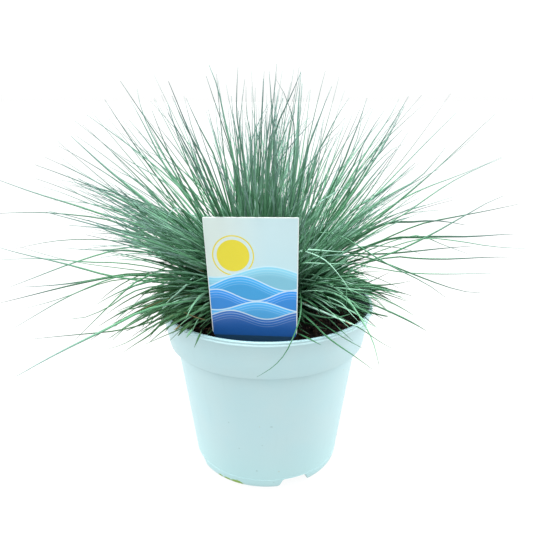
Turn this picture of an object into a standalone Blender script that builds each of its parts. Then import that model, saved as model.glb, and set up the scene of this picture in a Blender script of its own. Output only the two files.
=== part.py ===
"""Potted blue fescue: a plastic nursery pot, its soil, a stick-in plant label and a clump of needle leaves.

Metres, +Z up. The origin is the centre of the pot's foot, on the surface that it stands on, and the label
faces -Y.
"""

import math
import random

import bmesh
import bpy
from mathutils import Matrix, Vector, noise

OBJECT_NAME = "potted_blue_fescue"
GAP = 0.0004  # clearance kept between pieces that touch
MERGE = 0.00001

# The pot: outside radii, and heights over the surface that it stands on.
POT_HEIGHT = 0.138
LIP_RADIUS = 0.0850
LIP_BOTTOM = 0.1345
COLLAR_TOP_RADIUS = 0.0836
COLLAR_BOTTOM_RADIUS = 0.0784
COLLAR_BOTTOM = 0.1072
BODY_TOP_RADIUS = 0.0731
BODY_FOOT_RADIUS = 0.0584
FOOT_CORNER = 0.0066
FOOT_RING_INNER_RADIUS = 0.0450
FOOT_RECESS_HEIGHT = 0.0106
WALL = 0.0014
LIP_ROUND = 0.0010
LIP_INNER_STEP = 0.0003  # how far the lip's inside stands off the collar's; its lower edge is cut as much
LIP_INNER_BEVEL = 0.0005
COLLAR_BEVEL = 0.0006
POT_STEPS = 44
LIP_ARC_STEPS = 2
FOOT_ARC_STEPS = 3

# The cuts in the pot's foot: four notches, and a drain hole behind each.
NOTCH_COUNT = 4
FIRST_NOTCH_DEG = -68.0
NOTCH_TOP_WIDTH = 0.0195
NOTCH_LOW_WIDTH = 0.0365  # as far under the surface as the notch's top is over it
NOTCH_HEIGHT = 0.0100
NOTCH_CUT_INWARDS = 0.0042  # how far the cut runs past the foot ring's two sides
NOTCH_CUT_OUTWARDS = 0.0028
DRAIN_RADIUS = 0.0045
DRAIN_CIRCLE_RADIUS = 0.0350
DRAIN_CUT_DEPTH = 0.0084
DRAIN_SEGMENTS = 10

# The soil.
SOIL_LEVEL = 0.1240
SOIL_UNDER_CROWN = 0.1222
SOIL_LUMP_HEIGHT = 0.0016
SOIL_LUMP_SPACING = 0.0120
SOIL_RING_RADII = (0.0430, 0.0560, 0.0690)

# The label: a card that tapers into a stake. Its outline is given at heights over the pot's rim.
LABEL_THICKNESS = 0.0008
LABEL_RIM_POINT = (-0.0084, -0.0660, POT_HEIGHT)  # the middle of the label, level with the rim
LABEL_TURN_DEG = -7.3
LABEL_ROLL_DEG = -1.2
LABEL_LEAN_DEG = 3.0
LABEL_TOP = 0.0824
LABEL_TOP_HALF_WIDTH = 0.0318
LABEL_RIM_HALF_WIDTH = 0.0298
LABEL_SHOULDER = -0.0140
LABEL_SHOULDER_HALF_WIDTH = 0.0240
LABEL_POINT = -0.0560
LABEL_POINT_HALF_WIDTH = 0.0025
LABEL_ROOM = 0.0040  # what the leaves keep clear of the label's outline
LABEL_TEST_STEPS = 60

# The clump: every leaf lies on a ray from the clump's centre, which sinks as it goes outwards.
CLUMP_HEIGHT = 0.1270
CROWN_RADIUS = 0.0300
CROWN_BASE = 0.1258
CROWN_STEPS = 16
CROWN_ARC_STEPS = 4
UPRIGHT_REACH = 0.1900
EXTRA_SIDE_REACH = 0.0480
HALF_SPREAD = (0.2300, 0.1980)
LONG_SHARES = (0.88, 1.12)  # a long leaf's length as a share of the reach; over 1 it is cut to 1
LEVEL_SHARE = 0.30  # the same for a common leaf that lies level, and for one that stands upright
UPRIGHT_SHARE = 0.76
COMMON_VARIATION = (0.75, 1.25)
ARCH_DEG = 13.0
ARCH_RADIUS = 0.2000
ARCH_POWER = 1.6

# Rings of tufts, from the rim of the pot up: elevation, number of tufts, half the spread of a tuft and
# the number of long leaves in each tuft.
TUFT_RINGS = (
    (18.7, 17, 7.5, 1),
    (35.2, 15, 7.5, 1),
    (51.5, 11, 7.5, 2),
    (67.5, 7, 7.0, 2),
    (81.8, 3, 6.3, 3),
)
LEAVES_PER_TUFT = 7
SPREAD_SHARES = (0.35, 1.0)
SHEATH_LENGTH = 0.0060
SHEATH_BASE_RADIUS = 0.0024
SHEATH_TOP_RADIUS = 0.0034
LEAF_RINGS = ((0.34, 0.90), (0.72, 0.60))  # share of the leaf's length, share of its width at the sheath
LEAF_SEED = 57

# Colours, each with its roughness.
POT_LOOK = ((0.53, 0.74, 0.77), 0.45)
SOIL_LOOK = ((0.055, 0.032, 0.020), 0.95)
LABEL_LOOK = ((0.62, 0.76, 0.82), 0.35)
CROWN_LOOK = ((0.20, 0.19, 0.10), 0.90)
LEAF_LOOK = ((0.10, 0.26, 0.19), 0.60)


def clear_scene():
    for old in list(bpy.data.objects):
        bpy.data.objects.remove(old, do_unlink=True)


def new_collection(name):
    collection = bpy.data.collections.new(name)
    bpy.context.scene.collection.children.link(collection)
    return collection


def new_material(name, look):
    colour, roughness = look
    material = bpy.data.materials.new(name)
    material.use_nodes = True
    shader = material.node_tree.nodes["Principled BSDF"]
    shader.inputs["Base Color"].default_value = (*colour, 1.0)
    shader.inputs["Roughness"].default_value = roughness
    shader.inputs["Metallic"].default_value = 0.0
    return material


def add_object(name, mesh, collection, material=None):
    thing = bpy.data.objects.new(name, mesh)
    collection.objects.link(thing)
    if material:
        mesh.materials.append(material)
    return thing


def mesh_from(bm, name):
    bmesh.ops.recalc_face_normals(bm, faces=bm.faces)
    mesh = bpy.data.meshes.new(name)
    bm.to_mesh(mesh)
    bm.free()
    return mesh


def profile_mesh(name, points):
    """A line of (radius, height) points in the XZ plane."""
    bm = bmesh.new()
    corners = [bm.verts.new((radius, 0.0, height)) for radius, height in points]
    for start, end in zip(corners, corners[1:]):
        bm.edges.new((start, end))
    mesh = bpy.data.meshes.new(name)
    bm.to_mesh(mesh)
    bm.free()
    return mesh


def add_screw(thing, steps):
    screw = thing.modifiers.new("Turn", "SCREW")
    screw.axis = "Z"
    screw.steps = steps
    screw.render_steps = steps
    screw.use_merge_vertices = True
    screw.merge_threshold = MERGE


def add_cut(thing, cutter):
    cut = thing.modifiers.new("Cut", "BOOLEAN")
    cut.operation = "DIFFERENCE"
    cut.solver = "EXACT"
    cut.object = cutter


def hide_cutter(cutter):
    cutter.hide_render = True
    cutter.display_type = "WIRE"


def arc(radius, height, size, start_deg, end_deg, count):
    """Points of an arc about (radius, height), in the profile's plane."""
    points = []
    for i in range(count + 1):
        angle = math.radians(start_deg + (end_deg - start_deg) * i / count)
        points.append((radius + size * math.cos(angle), height + size * math.sin(angle)))
    return points


def body_radius(height):
    """The pot's outside radius below its collar."""
    return BODY_FOOT_RADIUS + (BODY_TOP_RADIUS - BODY_FOOT_RADIUS) * height / COLLAR_BOTTOM


def collar_radius(height):
    """The collar's outside radius."""
    share = (height - COLLAR_BOTTOM) / (LIP_BOTTOM - COLLAR_BOTTOM)
    return COLLAR_BOTTOM_RADIUS + (COLLAR_TOP_RADIUS - COLLAR_BOTTOM_RADIUS) * share


def floor_top():
    return FOOT_RECESS_HEIGHT + WALL


def inner_wall(clearance):
    """The pot's inside from its floor to the lip, as (radius, height) points held off by a clearance."""
    inset = WALL + clearance
    floor = floor_top() + clearance
    step = COLLAR_BOTTOM + WALL + clearance
    return [
        (body_radius(floor) - inset - WALL, floor),
        (body_radius(floor + WALL) - inset, floor + WALL),
        (body_radius(step - WALL) - inset, step - WALL),
        (collar_radius(step) - inset, step),
    ]


def pot_profile():
    """From the middle of the floor up the inside, over the lip, down the outside and back under the floor."""
    collar_inside = collar_radius(LIP_BOTTOM) - WALL
    inside = [(0.0, floor_top())] + inner_wall(0.0) + [(collar_inside, LIP_BOTTOM)]
    lip_inside = collar_inside + LIP_INNER_STEP
    lip = [(lip_inside, POT_HEIGHT - LIP_INNER_BEVEL), (lip_inside + LIP_INNER_BEVEL, POT_HEIGHT)]
    lip += arc(LIP_RADIUS - LIP_ROUND, POT_HEIGHT - LIP_ROUND, LIP_ROUND, 90, 0, LIP_ARC_STEPS)
    lip += [(LIP_RADIUS, LIP_BOTTOM + LIP_INNER_STEP), (LIP_RADIUS - LIP_INNER_STEP, LIP_BOTTOM)]
    outside = [
        (collar_radius(LIP_BOTTOM), LIP_BOTTOM),
        (COLLAR_BOTTOM_RADIUS, COLLAR_BOTTOM + COLLAR_BEVEL),
        (COLLAR_BOTTOM_RADIUS - COLLAR_BEVEL, COLLAR_BOTTOM),
        (BODY_TOP_RADIUS, COLLAR_BOTTOM),
    ]
    foot = arc(BODY_FOOT_RADIUS - FOOT_CORNER, FOOT_CORNER, FOOT_CORNER, 0, -90, FOOT_ARC_STEPS)
    foot = [(radius + body_radius(height) - BODY_FOOT_RADIUS, height) for radius, height in foot]
    recess = [
        (FOOT_RING_INNER_RADIUS, 0.0),
        (FOOT_RING_INNER_RADIUS - WALL, FOOT_RECESS_HEIGHT),
        (0.0, FOOT_RECESS_HEIGHT),
    ]
    return inside + lip + outside + foot + recess


def add_notch(bm, turn):
    """A block through the foot ring, wider at its lower end."""
    inner = FOOT_RING_INNER_RADIUS - NOTCH_CUT_INWARDS
    outer = BODY_FOOT_RADIUS + NOTCH_CUT_OUTWARDS
    corners = bmesh.ops.create_cube(bm, size=1.0)["verts"]
    for corner in corners:
        is_top = corner.co.z > 0
        width = NOTCH_TOP_WIDTH if is_top else NOTCH_LOW_WIDTH
        corner.co.x = outer if corner.co.x > 0 else inner
        corner.co.y = math.copysign(width / 2, corner.co.y)
        corner.co.z = NOTCH_HEIGHT if is_top else -NOTCH_HEIGHT
    bmesh.ops.transform(bm, matrix=turn, verts=corners)


def add_drain(bm, turn):
    """A round bar through the pot's floor."""
    bmesh.ops.create_cone(
        bm,
        cap_ends=True,
        segments=DRAIN_SEGMENTS,
        radius1=DRAIN_RADIUS,
        radius2=DRAIN_RADIUS,
        depth=DRAIN_CUT_DEPTH,
        matrix=turn @ Matrix.Translation((DRAIN_CIRCLE_RADIUS, 0.0, FOOT_RECESS_HEIGHT)),
    )


def foot_cutter(collection):
    """The notches through the foot ring and the drain holes through the floor, as one set of cutters."""
    bm = bmesh.new()
    for i in range(NOTCH_COUNT):
        turn = Matrix.Rotation(math.radians(FIRST_NOTCH_DEG + 360 / NOTCH_COUNT * i), 4, "Z")
        add_notch(bm, turn)
        add_drain(bm, turn)
    cutter = add_object("foot_cutter", mesh_from(bm, "foot_cutter"), collection)
    hide_cutter(cutter)
    return cutter


def build_pot(parts, cutters):
    pot = add_object("pot", profile_mesh("pot", pot_profile()), parts, new_material("pot", POT_LOOK))
    add_screw(pot, POT_STEPS)
    add_cut(pot, foot_cutter(cutters))


def soil_profile():
    """From the middle of the top outwards, then down the pot's inside and back along its floor."""
    wall = inner_wall(GAP)
    edge = (collar_radius(SOIL_LEVEL) - WALL - GAP, SOIL_LEVEL)
    top = [(0.0, SOIL_UNDER_CROWN), (CROWN_RADIUS + GAP, SOIL_UNDER_CROWN)]
    top += [(radius, SOIL_LEVEL) for radius in SOIL_RING_RADII]
    return top + [edge] + wall[::-1] + [(0.0, wall[0][1])]


def soil_lump(x, y):
    """How far the soil's top stands over or under its level."""
    place = Vector((x, y, 0.0)) / SOIL_LUMP_SPACING
    return SOIL_LUMP_HEIGHT * noise.noise(place)


def label_place():
    """From the label's own plane (across, up, out to its front) to where it stands."""
    turn = Matrix.Rotation(math.radians(LABEL_TURN_DEG), 4, "Z")
    roll = Matrix.Rotation(math.radians(LABEL_ROLL_DEG), 4, "Y")
    lean = Matrix.Rotation(math.radians(90 + LABEL_LEAN_DEG), 4, "X")
    return Matrix.Translation(LABEL_RIM_POINT) @ turn @ roll @ lean


def label_outline(margin=0.0):
    """The label's outline in its own plane: across, and up from the rim; grown by a margin."""
    widths = (
        (LABEL_TOP, LABEL_TOP_HALF_WIDTH),
        (0.0, LABEL_RIM_HALF_WIDTH),
        (LABEL_SHOULDER, LABEL_SHOULDER_HALF_WIDTH),
        (LABEL_POINT, LABEL_POINT_HALF_WIDTH),
    )
    right = [(half + margin, height) for height, half in widths]
    right[0] = (right[0][0], LABEL_TOP + margin)
    right[-1] = (right[-1][0], LABEL_POINT - margin)
    left = [(-across, height) for across, height in reversed(right)]
    return right + left


def label_plate(name, outline, thickness, collection, material=None):
    """A flat outline given its thickness, standing where the label stands."""
    curve = bpy.data.curves.new(name, "CURVE")
    curve.dimensions = "2D"
    curve.fill_mode = "BOTH"
    curve.extrude = thickness / 2
    line = curve.splines.new("POLY")
    line.points.add(len(outline) - 1)
    for point, (across, up) in zip(line.points, outline):
        point.co = (across, up, 0.0, 1.0)
    line.use_cyclic_u = True
    guide = add_object(name + "_outline", curve, collection)
    guide.matrix_world = label_place()
    bpy.context.view_layer.update()
    mesh = bpy.data.meshes.new_from_object(guide.evaluated_get(bpy.context.evaluated_depsgraph_get()))
    bm = bmesh.new()
    bm.from_mesh(mesh)
    bmesh.ops.remove_doubles(bm, verts=bm.verts, dist=MERGE)
    plate = add_object(name, mesh_from(bm, name), collection, material)
    plate.matrix_world = guide.matrix_world
    bpy.data.objects.remove(guide)
    return plate


def build_label(parts):
    label_plate("plant_label", label_outline(), LABEL_THICKNESS, parts, new_material("label", LABEL_LOOK))


def build_soil(parts, cutters):
    soil = add_object("potting_soil", profile_mesh("turned_soil", soil_profile()), cutters)
    add_screw(soil, POT_STEPS)
    bpy.context.view_layer.update()
    turned = bpy.data.meshes.new_from_object(soil.evaluated_get(bpy.context.evaluated_depsgraph_get()))
    bpy.data.objects.remove(soil)
    for corner in turned.vertices:
        x, y, height = corner.co
        if height > SOIL_LEVEL - MERGE and math.hypot(x, y) < SOIL_RING_RADII[-1] + MERGE:
            corner.co.z = height + soil_lump(x, y)
    turned.name = "potting_soil"
    soil = add_object("potting_soil", turned, parts, new_material("soil", SOIL_LOOK))
    slot = label_plate("label_slot", label_outline(GAP), LABEL_THICKNESS + 2 * GAP, cutters)
    hide_cutter(slot)
    add_cut(soil, slot)


def build_crown(parts):
    """A dome that stands on the soil, with its flat side down."""
    base_deg = math.degrees(math.asin((CROWN_BASE - CLUMP_HEIGHT) / CROWN_RADIUS))
    dome = arc(0.0, CLUMP_HEIGHT, CROWN_RADIUS, 90, base_deg, CROWN_ARC_STEPS)
    points = [(0.0, dome[0][1])] + dome[1:] + [(0.0, CROWN_BASE)]
    material = new_material("crown", CROWN_LOOK)
    crown = add_object("fescue_crown", profile_mesh("fescue_crown", points), parts, material)
    add_screw(crown, CROWN_STEPS)


def ray(elevation, azimuth):
    """The direction at an elevation over the soil and an azimuth about the pot's axis, in radians."""
    flat = math.cos(elevation)
    return Vector((flat * math.cos(azimuth), flat * math.sin(azimuth), math.sin(elevation)))


def leaf_point(direction, distance):
    """Where a leaf that sets out in a direction is at a distance from the clump's centre."""
    start = math.asin(direction.z)
    azimuth = math.atan2(direction.y, direction.x)
    grown = max(0.0, distance - CROWN_RADIUS) / ARCH_RADIUS
    sunk = math.radians(ARCH_DEG) * grown**ARCH_POWER * math.cos(start)
    return Vector((0.0, 0.0, CLUMP_HEIGHT)) + distance * ray(start - sunk, azimuth)


def meets_label(place):
    """True in front of the label's back and within its outline, with room for a leaf."""
    across, up, out = label_place().inverted() @ place
    within = abs(across) < LABEL_TOP_HALF_WIDTH + LABEL_ROOM and up < LABEL_TOP + LABEL_ROOM
    return within and out > -LABEL_ROOM


def leaf_reach(direction, share):
    """The distance of a leaf's tip, for a share of the longest leaf there.

    The clump stays in its rectangle, and a leaf that grows towards the label ends behind it.
    """
    side = math.hypot(direction.x, direction.y)
    distance = share * (UPRIGHT_REACH + EXTRA_SIDE_REACH * side**2)
    tip = leaf_point(direction, distance)
    distance /= max(1.0, abs(tip.x) / HALF_SPREAD[0], abs(tip.y) / HALF_SPREAD[1])
    for i in range(LABEL_TEST_STEPS):
        tested = distance * (i + 1) / LABEL_TEST_STEPS
        if meets_label(leaf_point(direction, tested)):
            return tested - distance / LABEL_TEST_STEPS
    return distance


def length_share(direction, is_long, rng):
    """A leaf's length as a share of its reach: a common leaf is shorter where it lies lower."""
    if is_long:
        return min(1.0, rng.uniform(*LONG_SHARES))
    upright = 2 * math.asin(direction.z) / math.pi
    common = LEVEL_SHARE + (UPRIGHT_SHARE - LEVEL_SHARE) * upright
    return common * rng.uniform(*COMMON_VARIATION)


def draw_leaf(bm, face, direction, tip_distance):
    """Draws one face out along a leaf's path to a point."""
    corners = [corner.co - face.calc_center_median() for corner in face.verts]
    start = CROWN_RADIUS + SHEATH_LENGTH
    for share, width in LEAF_RINGS:
        face = bmesh.ops.extrude_discrete_faces(bm, faces=[face])["faces"][0]
        middle = leaf_point(direction, start + share * (tip_distance - start))
        for corner, offset in zip(face.verts, corners):
            corner.co = middle + offset * width
    tip = bmesh.ops.poke(bm, faces=[face])["verts"][0]
    tip.co = leaf_point(direction, tip_distance)


def build_tuft(name, centre, spread, long_leaves, rng, parts, material):
    """A short sheath that parts into leaves: each face of its fan-shaped top is drawn out into one leaf."""
    frame = centre.to_track_quat("Z", "Y").to_matrix().to_4x4()
    place = Matrix.Translation((0.0, 0.0, CLUMP_HEIGHT)) @ frame
    middle = place @ Matrix.Translation((0.0, 0.0, CROWN_RADIUS + GAP + SHEATH_LENGTH / 2))
    bm = bmesh.new()
    bmesh.ops.create_cone(
        bm,
        cap_ends=True,
        segments=LEAVES_PER_TUFT,
        radius1=SHEATH_BASE_RADIUS,
        radius2=SHEATH_TOP_RADIUS,
        depth=SHEATH_LENGTH,
        matrix=middle,
    )
    bm.faces.ensure_lookup_table()
    top = max(bm.faces, key=lambda face: face.calc_center_median().dot(centre))
    fan = bmesh.ops.poke(bm, faces=[top])["faces"]
    sheath_end = middle @ Vector((0.0, 0.0, SHEATH_LENGTH / 2))
    long_ones = rng.sample(range(LEAVES_PER_TUFT), long_leaves)
    for i, face in enumerate(fan):
        outwards = (face.calc_center_median() - sheath_end).normalized()
        lean = math.tan(math.radians(spread * rng.uniform(*SPREAD_SHARES)))
        direction = (centre + outwards * lean).normalized()
        tip_distance = leaf_reach(direction, length_share(direction, i in long_ones, rng))
        draw_leaf(bm, face, direction, tip_distance)
    add_object(name, mesh_from(bm, name), parts, material)


def build_clump(parts):
    rng = random.Random(LEAF_SEED)
    material = new_material("leaf", LEAF_LOOK)
    number = 0
    for ring, (elevation, count, spread, long_leaves) in enumerate(TUFT_RINGS):
        for i in range(count):
            number += 1
            azimuth = 2 * math.pi * (i + 0.5 * (ring % 2)) / count
            centre = ray(math.radians(elevation), azimuth)
            build_tuft(f"leaf_tuft_{number:02d}", centre, spread, long_leaves, rng, parts, material)


def main():
    clear_scene()
    parts = new_collection(OBJECT_NAME)
    cutters = new_collection("cutters")
    build_pot(parts, cutters)
    build_soil(parts, cutters)
    build_label(parts)
    build_crown(parts)
    build_clump(parts)


main()
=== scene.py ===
"""The looks of the potted blue fescue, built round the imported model. Metres, +Z up, the label faces -Y."""

import math
import random
from dataclasses import dataclass

import bmesh
import bpy
import numpy as np
from mathutils import Matrix, Vector, noise


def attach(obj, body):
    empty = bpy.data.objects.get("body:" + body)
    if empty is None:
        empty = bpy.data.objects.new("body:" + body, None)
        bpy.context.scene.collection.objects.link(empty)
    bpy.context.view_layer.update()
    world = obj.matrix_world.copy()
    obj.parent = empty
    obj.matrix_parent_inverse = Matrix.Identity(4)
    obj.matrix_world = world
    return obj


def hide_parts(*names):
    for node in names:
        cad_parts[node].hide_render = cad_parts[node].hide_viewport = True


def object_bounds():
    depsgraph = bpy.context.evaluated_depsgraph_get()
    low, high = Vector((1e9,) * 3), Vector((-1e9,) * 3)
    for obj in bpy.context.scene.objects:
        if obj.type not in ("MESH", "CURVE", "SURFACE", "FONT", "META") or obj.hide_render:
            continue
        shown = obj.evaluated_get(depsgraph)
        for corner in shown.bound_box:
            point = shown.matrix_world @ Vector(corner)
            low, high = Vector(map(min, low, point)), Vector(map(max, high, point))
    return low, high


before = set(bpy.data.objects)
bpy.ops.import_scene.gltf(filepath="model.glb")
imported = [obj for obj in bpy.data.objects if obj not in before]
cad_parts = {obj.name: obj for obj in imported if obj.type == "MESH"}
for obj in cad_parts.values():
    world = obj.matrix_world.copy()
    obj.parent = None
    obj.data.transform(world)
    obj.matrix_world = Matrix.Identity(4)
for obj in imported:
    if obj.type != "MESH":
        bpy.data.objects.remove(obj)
cad_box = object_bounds()

BODY = "root"
MERGE = 0.00001
BAKE_MAP = "OFBake"
UP = Vector((0.0, 0.0, 1.0))

# The photograph's frame and the camera that took it.
PHOTO_SIZE = 533
FOCAL_PIXELS = 556.1
CAMERA_PLACE = Vector((0.0, -0.4245, 0.2946))
CAMERA_PITCH = math.radians(16.91)
SENSOR = 0.036

# The pot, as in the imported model.
POT_HEIGHT = 0.138
LIP_RADIUS = 0.0850
LIP_BOTTOM = 0.1345
COLLAR_TOP_RADIUS = 0.0836
COLLAR_BOTTOM_RADIUS = 0.0784
COLLAR_BOTTOM = 0.1072
BODY_TOP_RADIUS = 0.0731
BODY_FOOT_RADIUS = 0.0584
FOOT_CORNER = 0.0066
FOOT_RING_INNER_RADIUS = 0.0450
FOOT_RECESS_HEIGHT = 0.0106
WALL = 0.0014
NOTCH_COUNT = 4
FIRST_NOTCH_DEG = -68.0
NOTCH_FOOT_WIDTH = 0.0280
NOTCH_TOP_WIDTH = 0.0195
NOTCH_HEIGHT = 0.0100
NOTCH_ROUND = 0.0008
DRAIN_RADIUS = 0.0045
DRAIN_CIRCLE_RADIUS = 0.0350

# The pot's finer form: the lip's rounds and the groove in its face, the collar's ledge and the foot line.
POT_STEPS = 160
LIP_INNER_ROUND = 0.0006
LIP_INNER_STEP = 0.0002
UPPER_BEAD = 0.0008
UPPER_BEAD_BACK = 0.0001
LOWER_BEAD = 0.0006
LOWER_BEAD_DOWN = 0.0025
GROOVE_IN_AND_DOWN = ((0.00025, 0.00125), (0.00040, 0.00160))
LIP_FOOT_ROUND = 0.0005
LIP_FILLET = 0.0004
LEDGE_ROUND = 0.0008
LEDGE_TOP_OUT = 0.0001
LEDGE_TOP_UP = 0.0010
BODY_HEIGHT_SHARES = (0.75, 0.5, 0.25, 0.12)
FOOT_LINE = 0.0102
FOOT_LINE_STEP = 0.00016
RING_CHAMFER = 0.0003

# Stains, each by its place round the foot from the front, its height and its half sizes, in millimetres:
# green patches at the foot and small dull spots over the wall.
ALGAE_PATCHES_MM = ((-24.2, 3.1, 5.7, 3.5), (-32.7, 3.6, 3.8, 2.2), (-39.4, 4.2, 2.4, 1.6))
SPOTS_MM = (
    (-7.2, 19.5, 0.70, 0.75), (-19.4, 39.4, 0.50, 0.50), (5.6, 8.0, 0.60, 0.50), (-25.5, 62.1, 0.50, 0.60),
    (3.2, 62.2, 0.90, 0.60), (-2.9, 44.7, 0.50, 0.50),
)

# The soil, with the loose crumbs and fibres on it.
SOIL_LEVEL = 0.1240
SOIL_EDGE_RADIUS = 0.0796
SOIL_RINGS = 50
SOIL_SPOKES = 150
SOIL_TONE = 0.15
CRUMBS = 620
FIBRES = 130
FIBRE_POINTS = 5

# The label.
LABEL_THICKNESS = 0.0007
LABEL_RIM_POINT = (-0.0084, -0.0660, POT_HEIGHT)
LABEL_TURN_DEG = -7.3
LABEL_ROLL_DEG = -1.2
LABEL_LEAN_DEG = 3.0
LABEL_TOP = 0.0824
LABEL_TOP_HALF_WIDTH = 0.0318
LABEL_RIM_HALF_WIDTH = 0.0298
LABEL_SHOULDER = -0.0140
LABEL_SHOULDER_HALF_WIDTH = 0.0240
LABEL_POINT = -0.0560
LABEL_POINT_HALF_WIDTH = 0.0025
LABEL_CORNER = 0.0008
LABEL_EDGE = 0.00012
# The print, in millimetres from the middle of the rim: a disc in a ring, a dark strip between two heights,
# how soft the edges of these are, and bands that roll across.
DISC_MM = (-12.5, 56.0)
DISC_RADIUS_MM = 11.0
RING_MM = (13.5, 14.1)
STRIP_MM = (-9.0, -2.6)
PRINT_EDGE_MM = 0.3
# Level, swing, waves for each millimetre, start and colour of each band.
BANDS = (
    (45.0, 4.2, 0.085, 0.6, (0.190, 0.520, 0.680)),
    (37.0, 5.0, 0.100, 2.4, (0.020, 0.330, 0.700)),
    (28.0, 4.0, 0.120, 4.6, (0.002, 0.230, 0.680)),
    (20.0, 3.4, 0.105, 1.2, (0.040, 0.350, 0.720)),
    (13.5, 3.0, 0.130, 3.6, (0.001, 0.100, 0.400)),
)
# Pale lines along the top of each band: depth under its edge, width and strength.
BAND_LINES = ((0.0, 0.95, 0.75), (2.3, 0.45, 0.40), (4.3, 0.35, 0.30), (6.1, 0.30, 0.22))
LINE_BLUR = 0.12
# The print fades out between these two distances inside the card's edge, in metres.
BARE_RIM = (0.0007, 0.0005)

# The height of the clump's middle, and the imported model's rings of tufts round it: each ring's elevation in
# degrees and its number of tufts.
CLUMP_HEIGHT = 0.1270
TUFT_RINGS = ((18.7, 17), (35.2, 15), (51.5, 11), (67.5, 7), (81.8, 3))
TUFTS_PER_PIECE = 3

# The fine leaves, which stand in shoots.
CROWN_RADIUS = 0.0300
LEAF_FOOT = SOIL_LEVEL + 0.003
UPRIGHT_REACH = 0.1900
EXTRA_SIDE_REACH = 0.0480
SHOOTS = 440
SHOOT_SCATTER = 0.005
LOWEST_SHOOT_DEG = -26.0
LOW_UNDER_DEG = 32.0
LEAVES_PER_SHOOT = (4, 8)
LEAF_SCATTER = 0.0018
LEAF_SEGMENTS = 16
LEAF_WIDTH = (0.0009, 0.0016)
# A leaf's folded section in shares of its width. Its last corner is the bottom of the fold.
LEAF_SECTION = ((-0.50, 0.24), (-0.32, -0.28), (0.32, -0.28), (0.50, 0.24), (0.0, 0.0))
LEAF_SIDES = len(LEAF_SECTION)
# Every leaf leaves the crown steeply and takes its own direction over about this length.
SHEATH_STEEP = math.radians(82.0)
ARCH_LENGTH = 0.050
LOW_ARCH_LENGTH = 0.024
ARCHING_LEAF_LENGTH = (0.050, 0.088)
LONG_LEAF = 0.115
LONG_LEAF_TONE = 0.46
LOWEST_LEAF = 0.090
# Heights count this many times in the distance from the clump's heart that sets the painted shade there and
# the greyer far tips.
HEART_FLATNESS = 1.5
# The shares of the leaves that another leaf parts from, that droop far, and that are dry.
SIDE_LEAF_SHARE = 0.55
SIDE_SEGMENTS = 6
DROOPING_SHARE = 0.05
DRY_SHARE = 0.006
DRY_UNDER_DEG = 15.0
# The room that a grown leaf leaves round the label, the soil and the lip, the room over the lip, and how far
# the lip reaches inwards. The label stands at this azimuth from the clump's middle.
ROOM = 0.0015
LIP_TOP_ROOM = 0.0009
LIP_DEPTH = 0.0045
LABEL_AZIMUTH = math.radians(-97.0)
# How a leaf that meets something is changed at each try: turned, lifted or shortened.
FITTING_TRIES = 30
SIDEWAYS_SHARE = 0.55
LABEL_STEP = math.radians(3.0)
POT_STEP = math.radians(2.0)
SHORTER = 0.92
# Towards these azimuths few low shoots grow, and those arch over, so that the soil shows beside the label.
OPEN_AZIMUTHS_DEG = (-98.0, -4.0)
OPEN_BELOW_DEG = 34.0
# The share of those shoots that stands next to the label, and the share from the next azimuth on.
OPEN_KEPT_AT_LABEL = 0.04
OPEN_KEPT = 0.42
KEPT_FROM_DEG = -48.0
# How long the leaves are round the clump's outline: angle from the right as the camera sees it, and factor.
OUTLINE = (
    (-90, 0.80), (-40, 0.74), (-24, 1.48), (-13, 0.94), (-3, 0.36), (9, 0.28), (17, 0.52), (26, 1.40),
    (38, 0.90), (52, 0.34), (66, 0.68), (82, 1.10), (97, 1.05), (112, 0.60), (127, 0.50), (141, 0.80),
    (154, 1.44), (165, 1.66), (175, 1.04), (184, 0.52), (193, 0.50), (204, 1.56), (214, 1.25),
    (230, 0.90), (270, 0.60),
)
# Short leaves inside the clump, dark as painted shade, and the stubs of old leaves on the crown.
INNER_LEAVES = 1000
INNER_LEAF_FOOT = SOIL_LEVEL + 0.002
STUBS = 420
# Where the leaves that are placed one by one stand in the crown, and how far they rise before they lean out.
ROOT_RADIUS = 0.014
ROOT_RISE = 0.014
CROWN_PIXEL = (266.5, 300.0)
HEART = Vector((0.0, -0.010, 0.158))
# Steps between two places of a curve, and how often the curve is smoothed.
FINE_STEPS = 8
SMOOTHINGS = 24
HANGING_SMOOTHINGS = 4

# The studio: a round white floor under a white sky that is brighter overhead, and three round lamps.
STAGE_RADIUS = 40.0
STAGE_SEGMENTS = 96
SKY_TOP = 2.6
FLOOR_GLOW = 0.92
WHITE = (1.0, 1.0, 1.0, 1.0)
# Each lamp's place, the height it is turned to, its diameter and its power.
LAMPS = {
    "top": ((-0.20, -0.15, 1.45), 0.15, 0.6, 24.0),
    "left": ((-1.22, 0.40, 0.50), 0.10, 0.8, 11.0),
    "right": ((1.22, 0.40, 0.50), 0.10, 0.8, 11.0),
}


def ray(elevation, azimuth):
    """The unit vector this way."""
    flat = math.cos(elevation)
    return Vector((flat * math.cos(azimuth), flat * math.sin(azimuth), math.sin(elevation)))


def share_of(value):
    """The value, kept between 0 and 1."""
    return min(1.0, max(0.0, value))


def at_pixel(across, down, depth):
    """The point that the photograph shows at a pixel, on the plane at this y."""
    right = (across - PHOTO_SIZE / 2) / FOCAL_PIXELS
    up = (PHOTO_SIZE / 2 - down) / FOCAL_PIXELS
    forward_y = math.cos(CAMERA_PITCH) + up * math.sin(CAMERA_PITCH)
    forward_z = -math.sin(CAMERA_PITCH) + up * math.cos(CAMERA_PITCH)
    distance = (depth - CAMERA_PLACE.y) / forward_y
    return CAMERA_PLACE + distance * Vector((right, forward_y, forward_z))


# Node materials --------------------


def opaque(value):
    """A colour of three parts gets its alpha; a socket or a number stays as it is."""
    return (*value, 1.0) if isinstance(value, tuple) and len(value) == 3 else value


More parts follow.
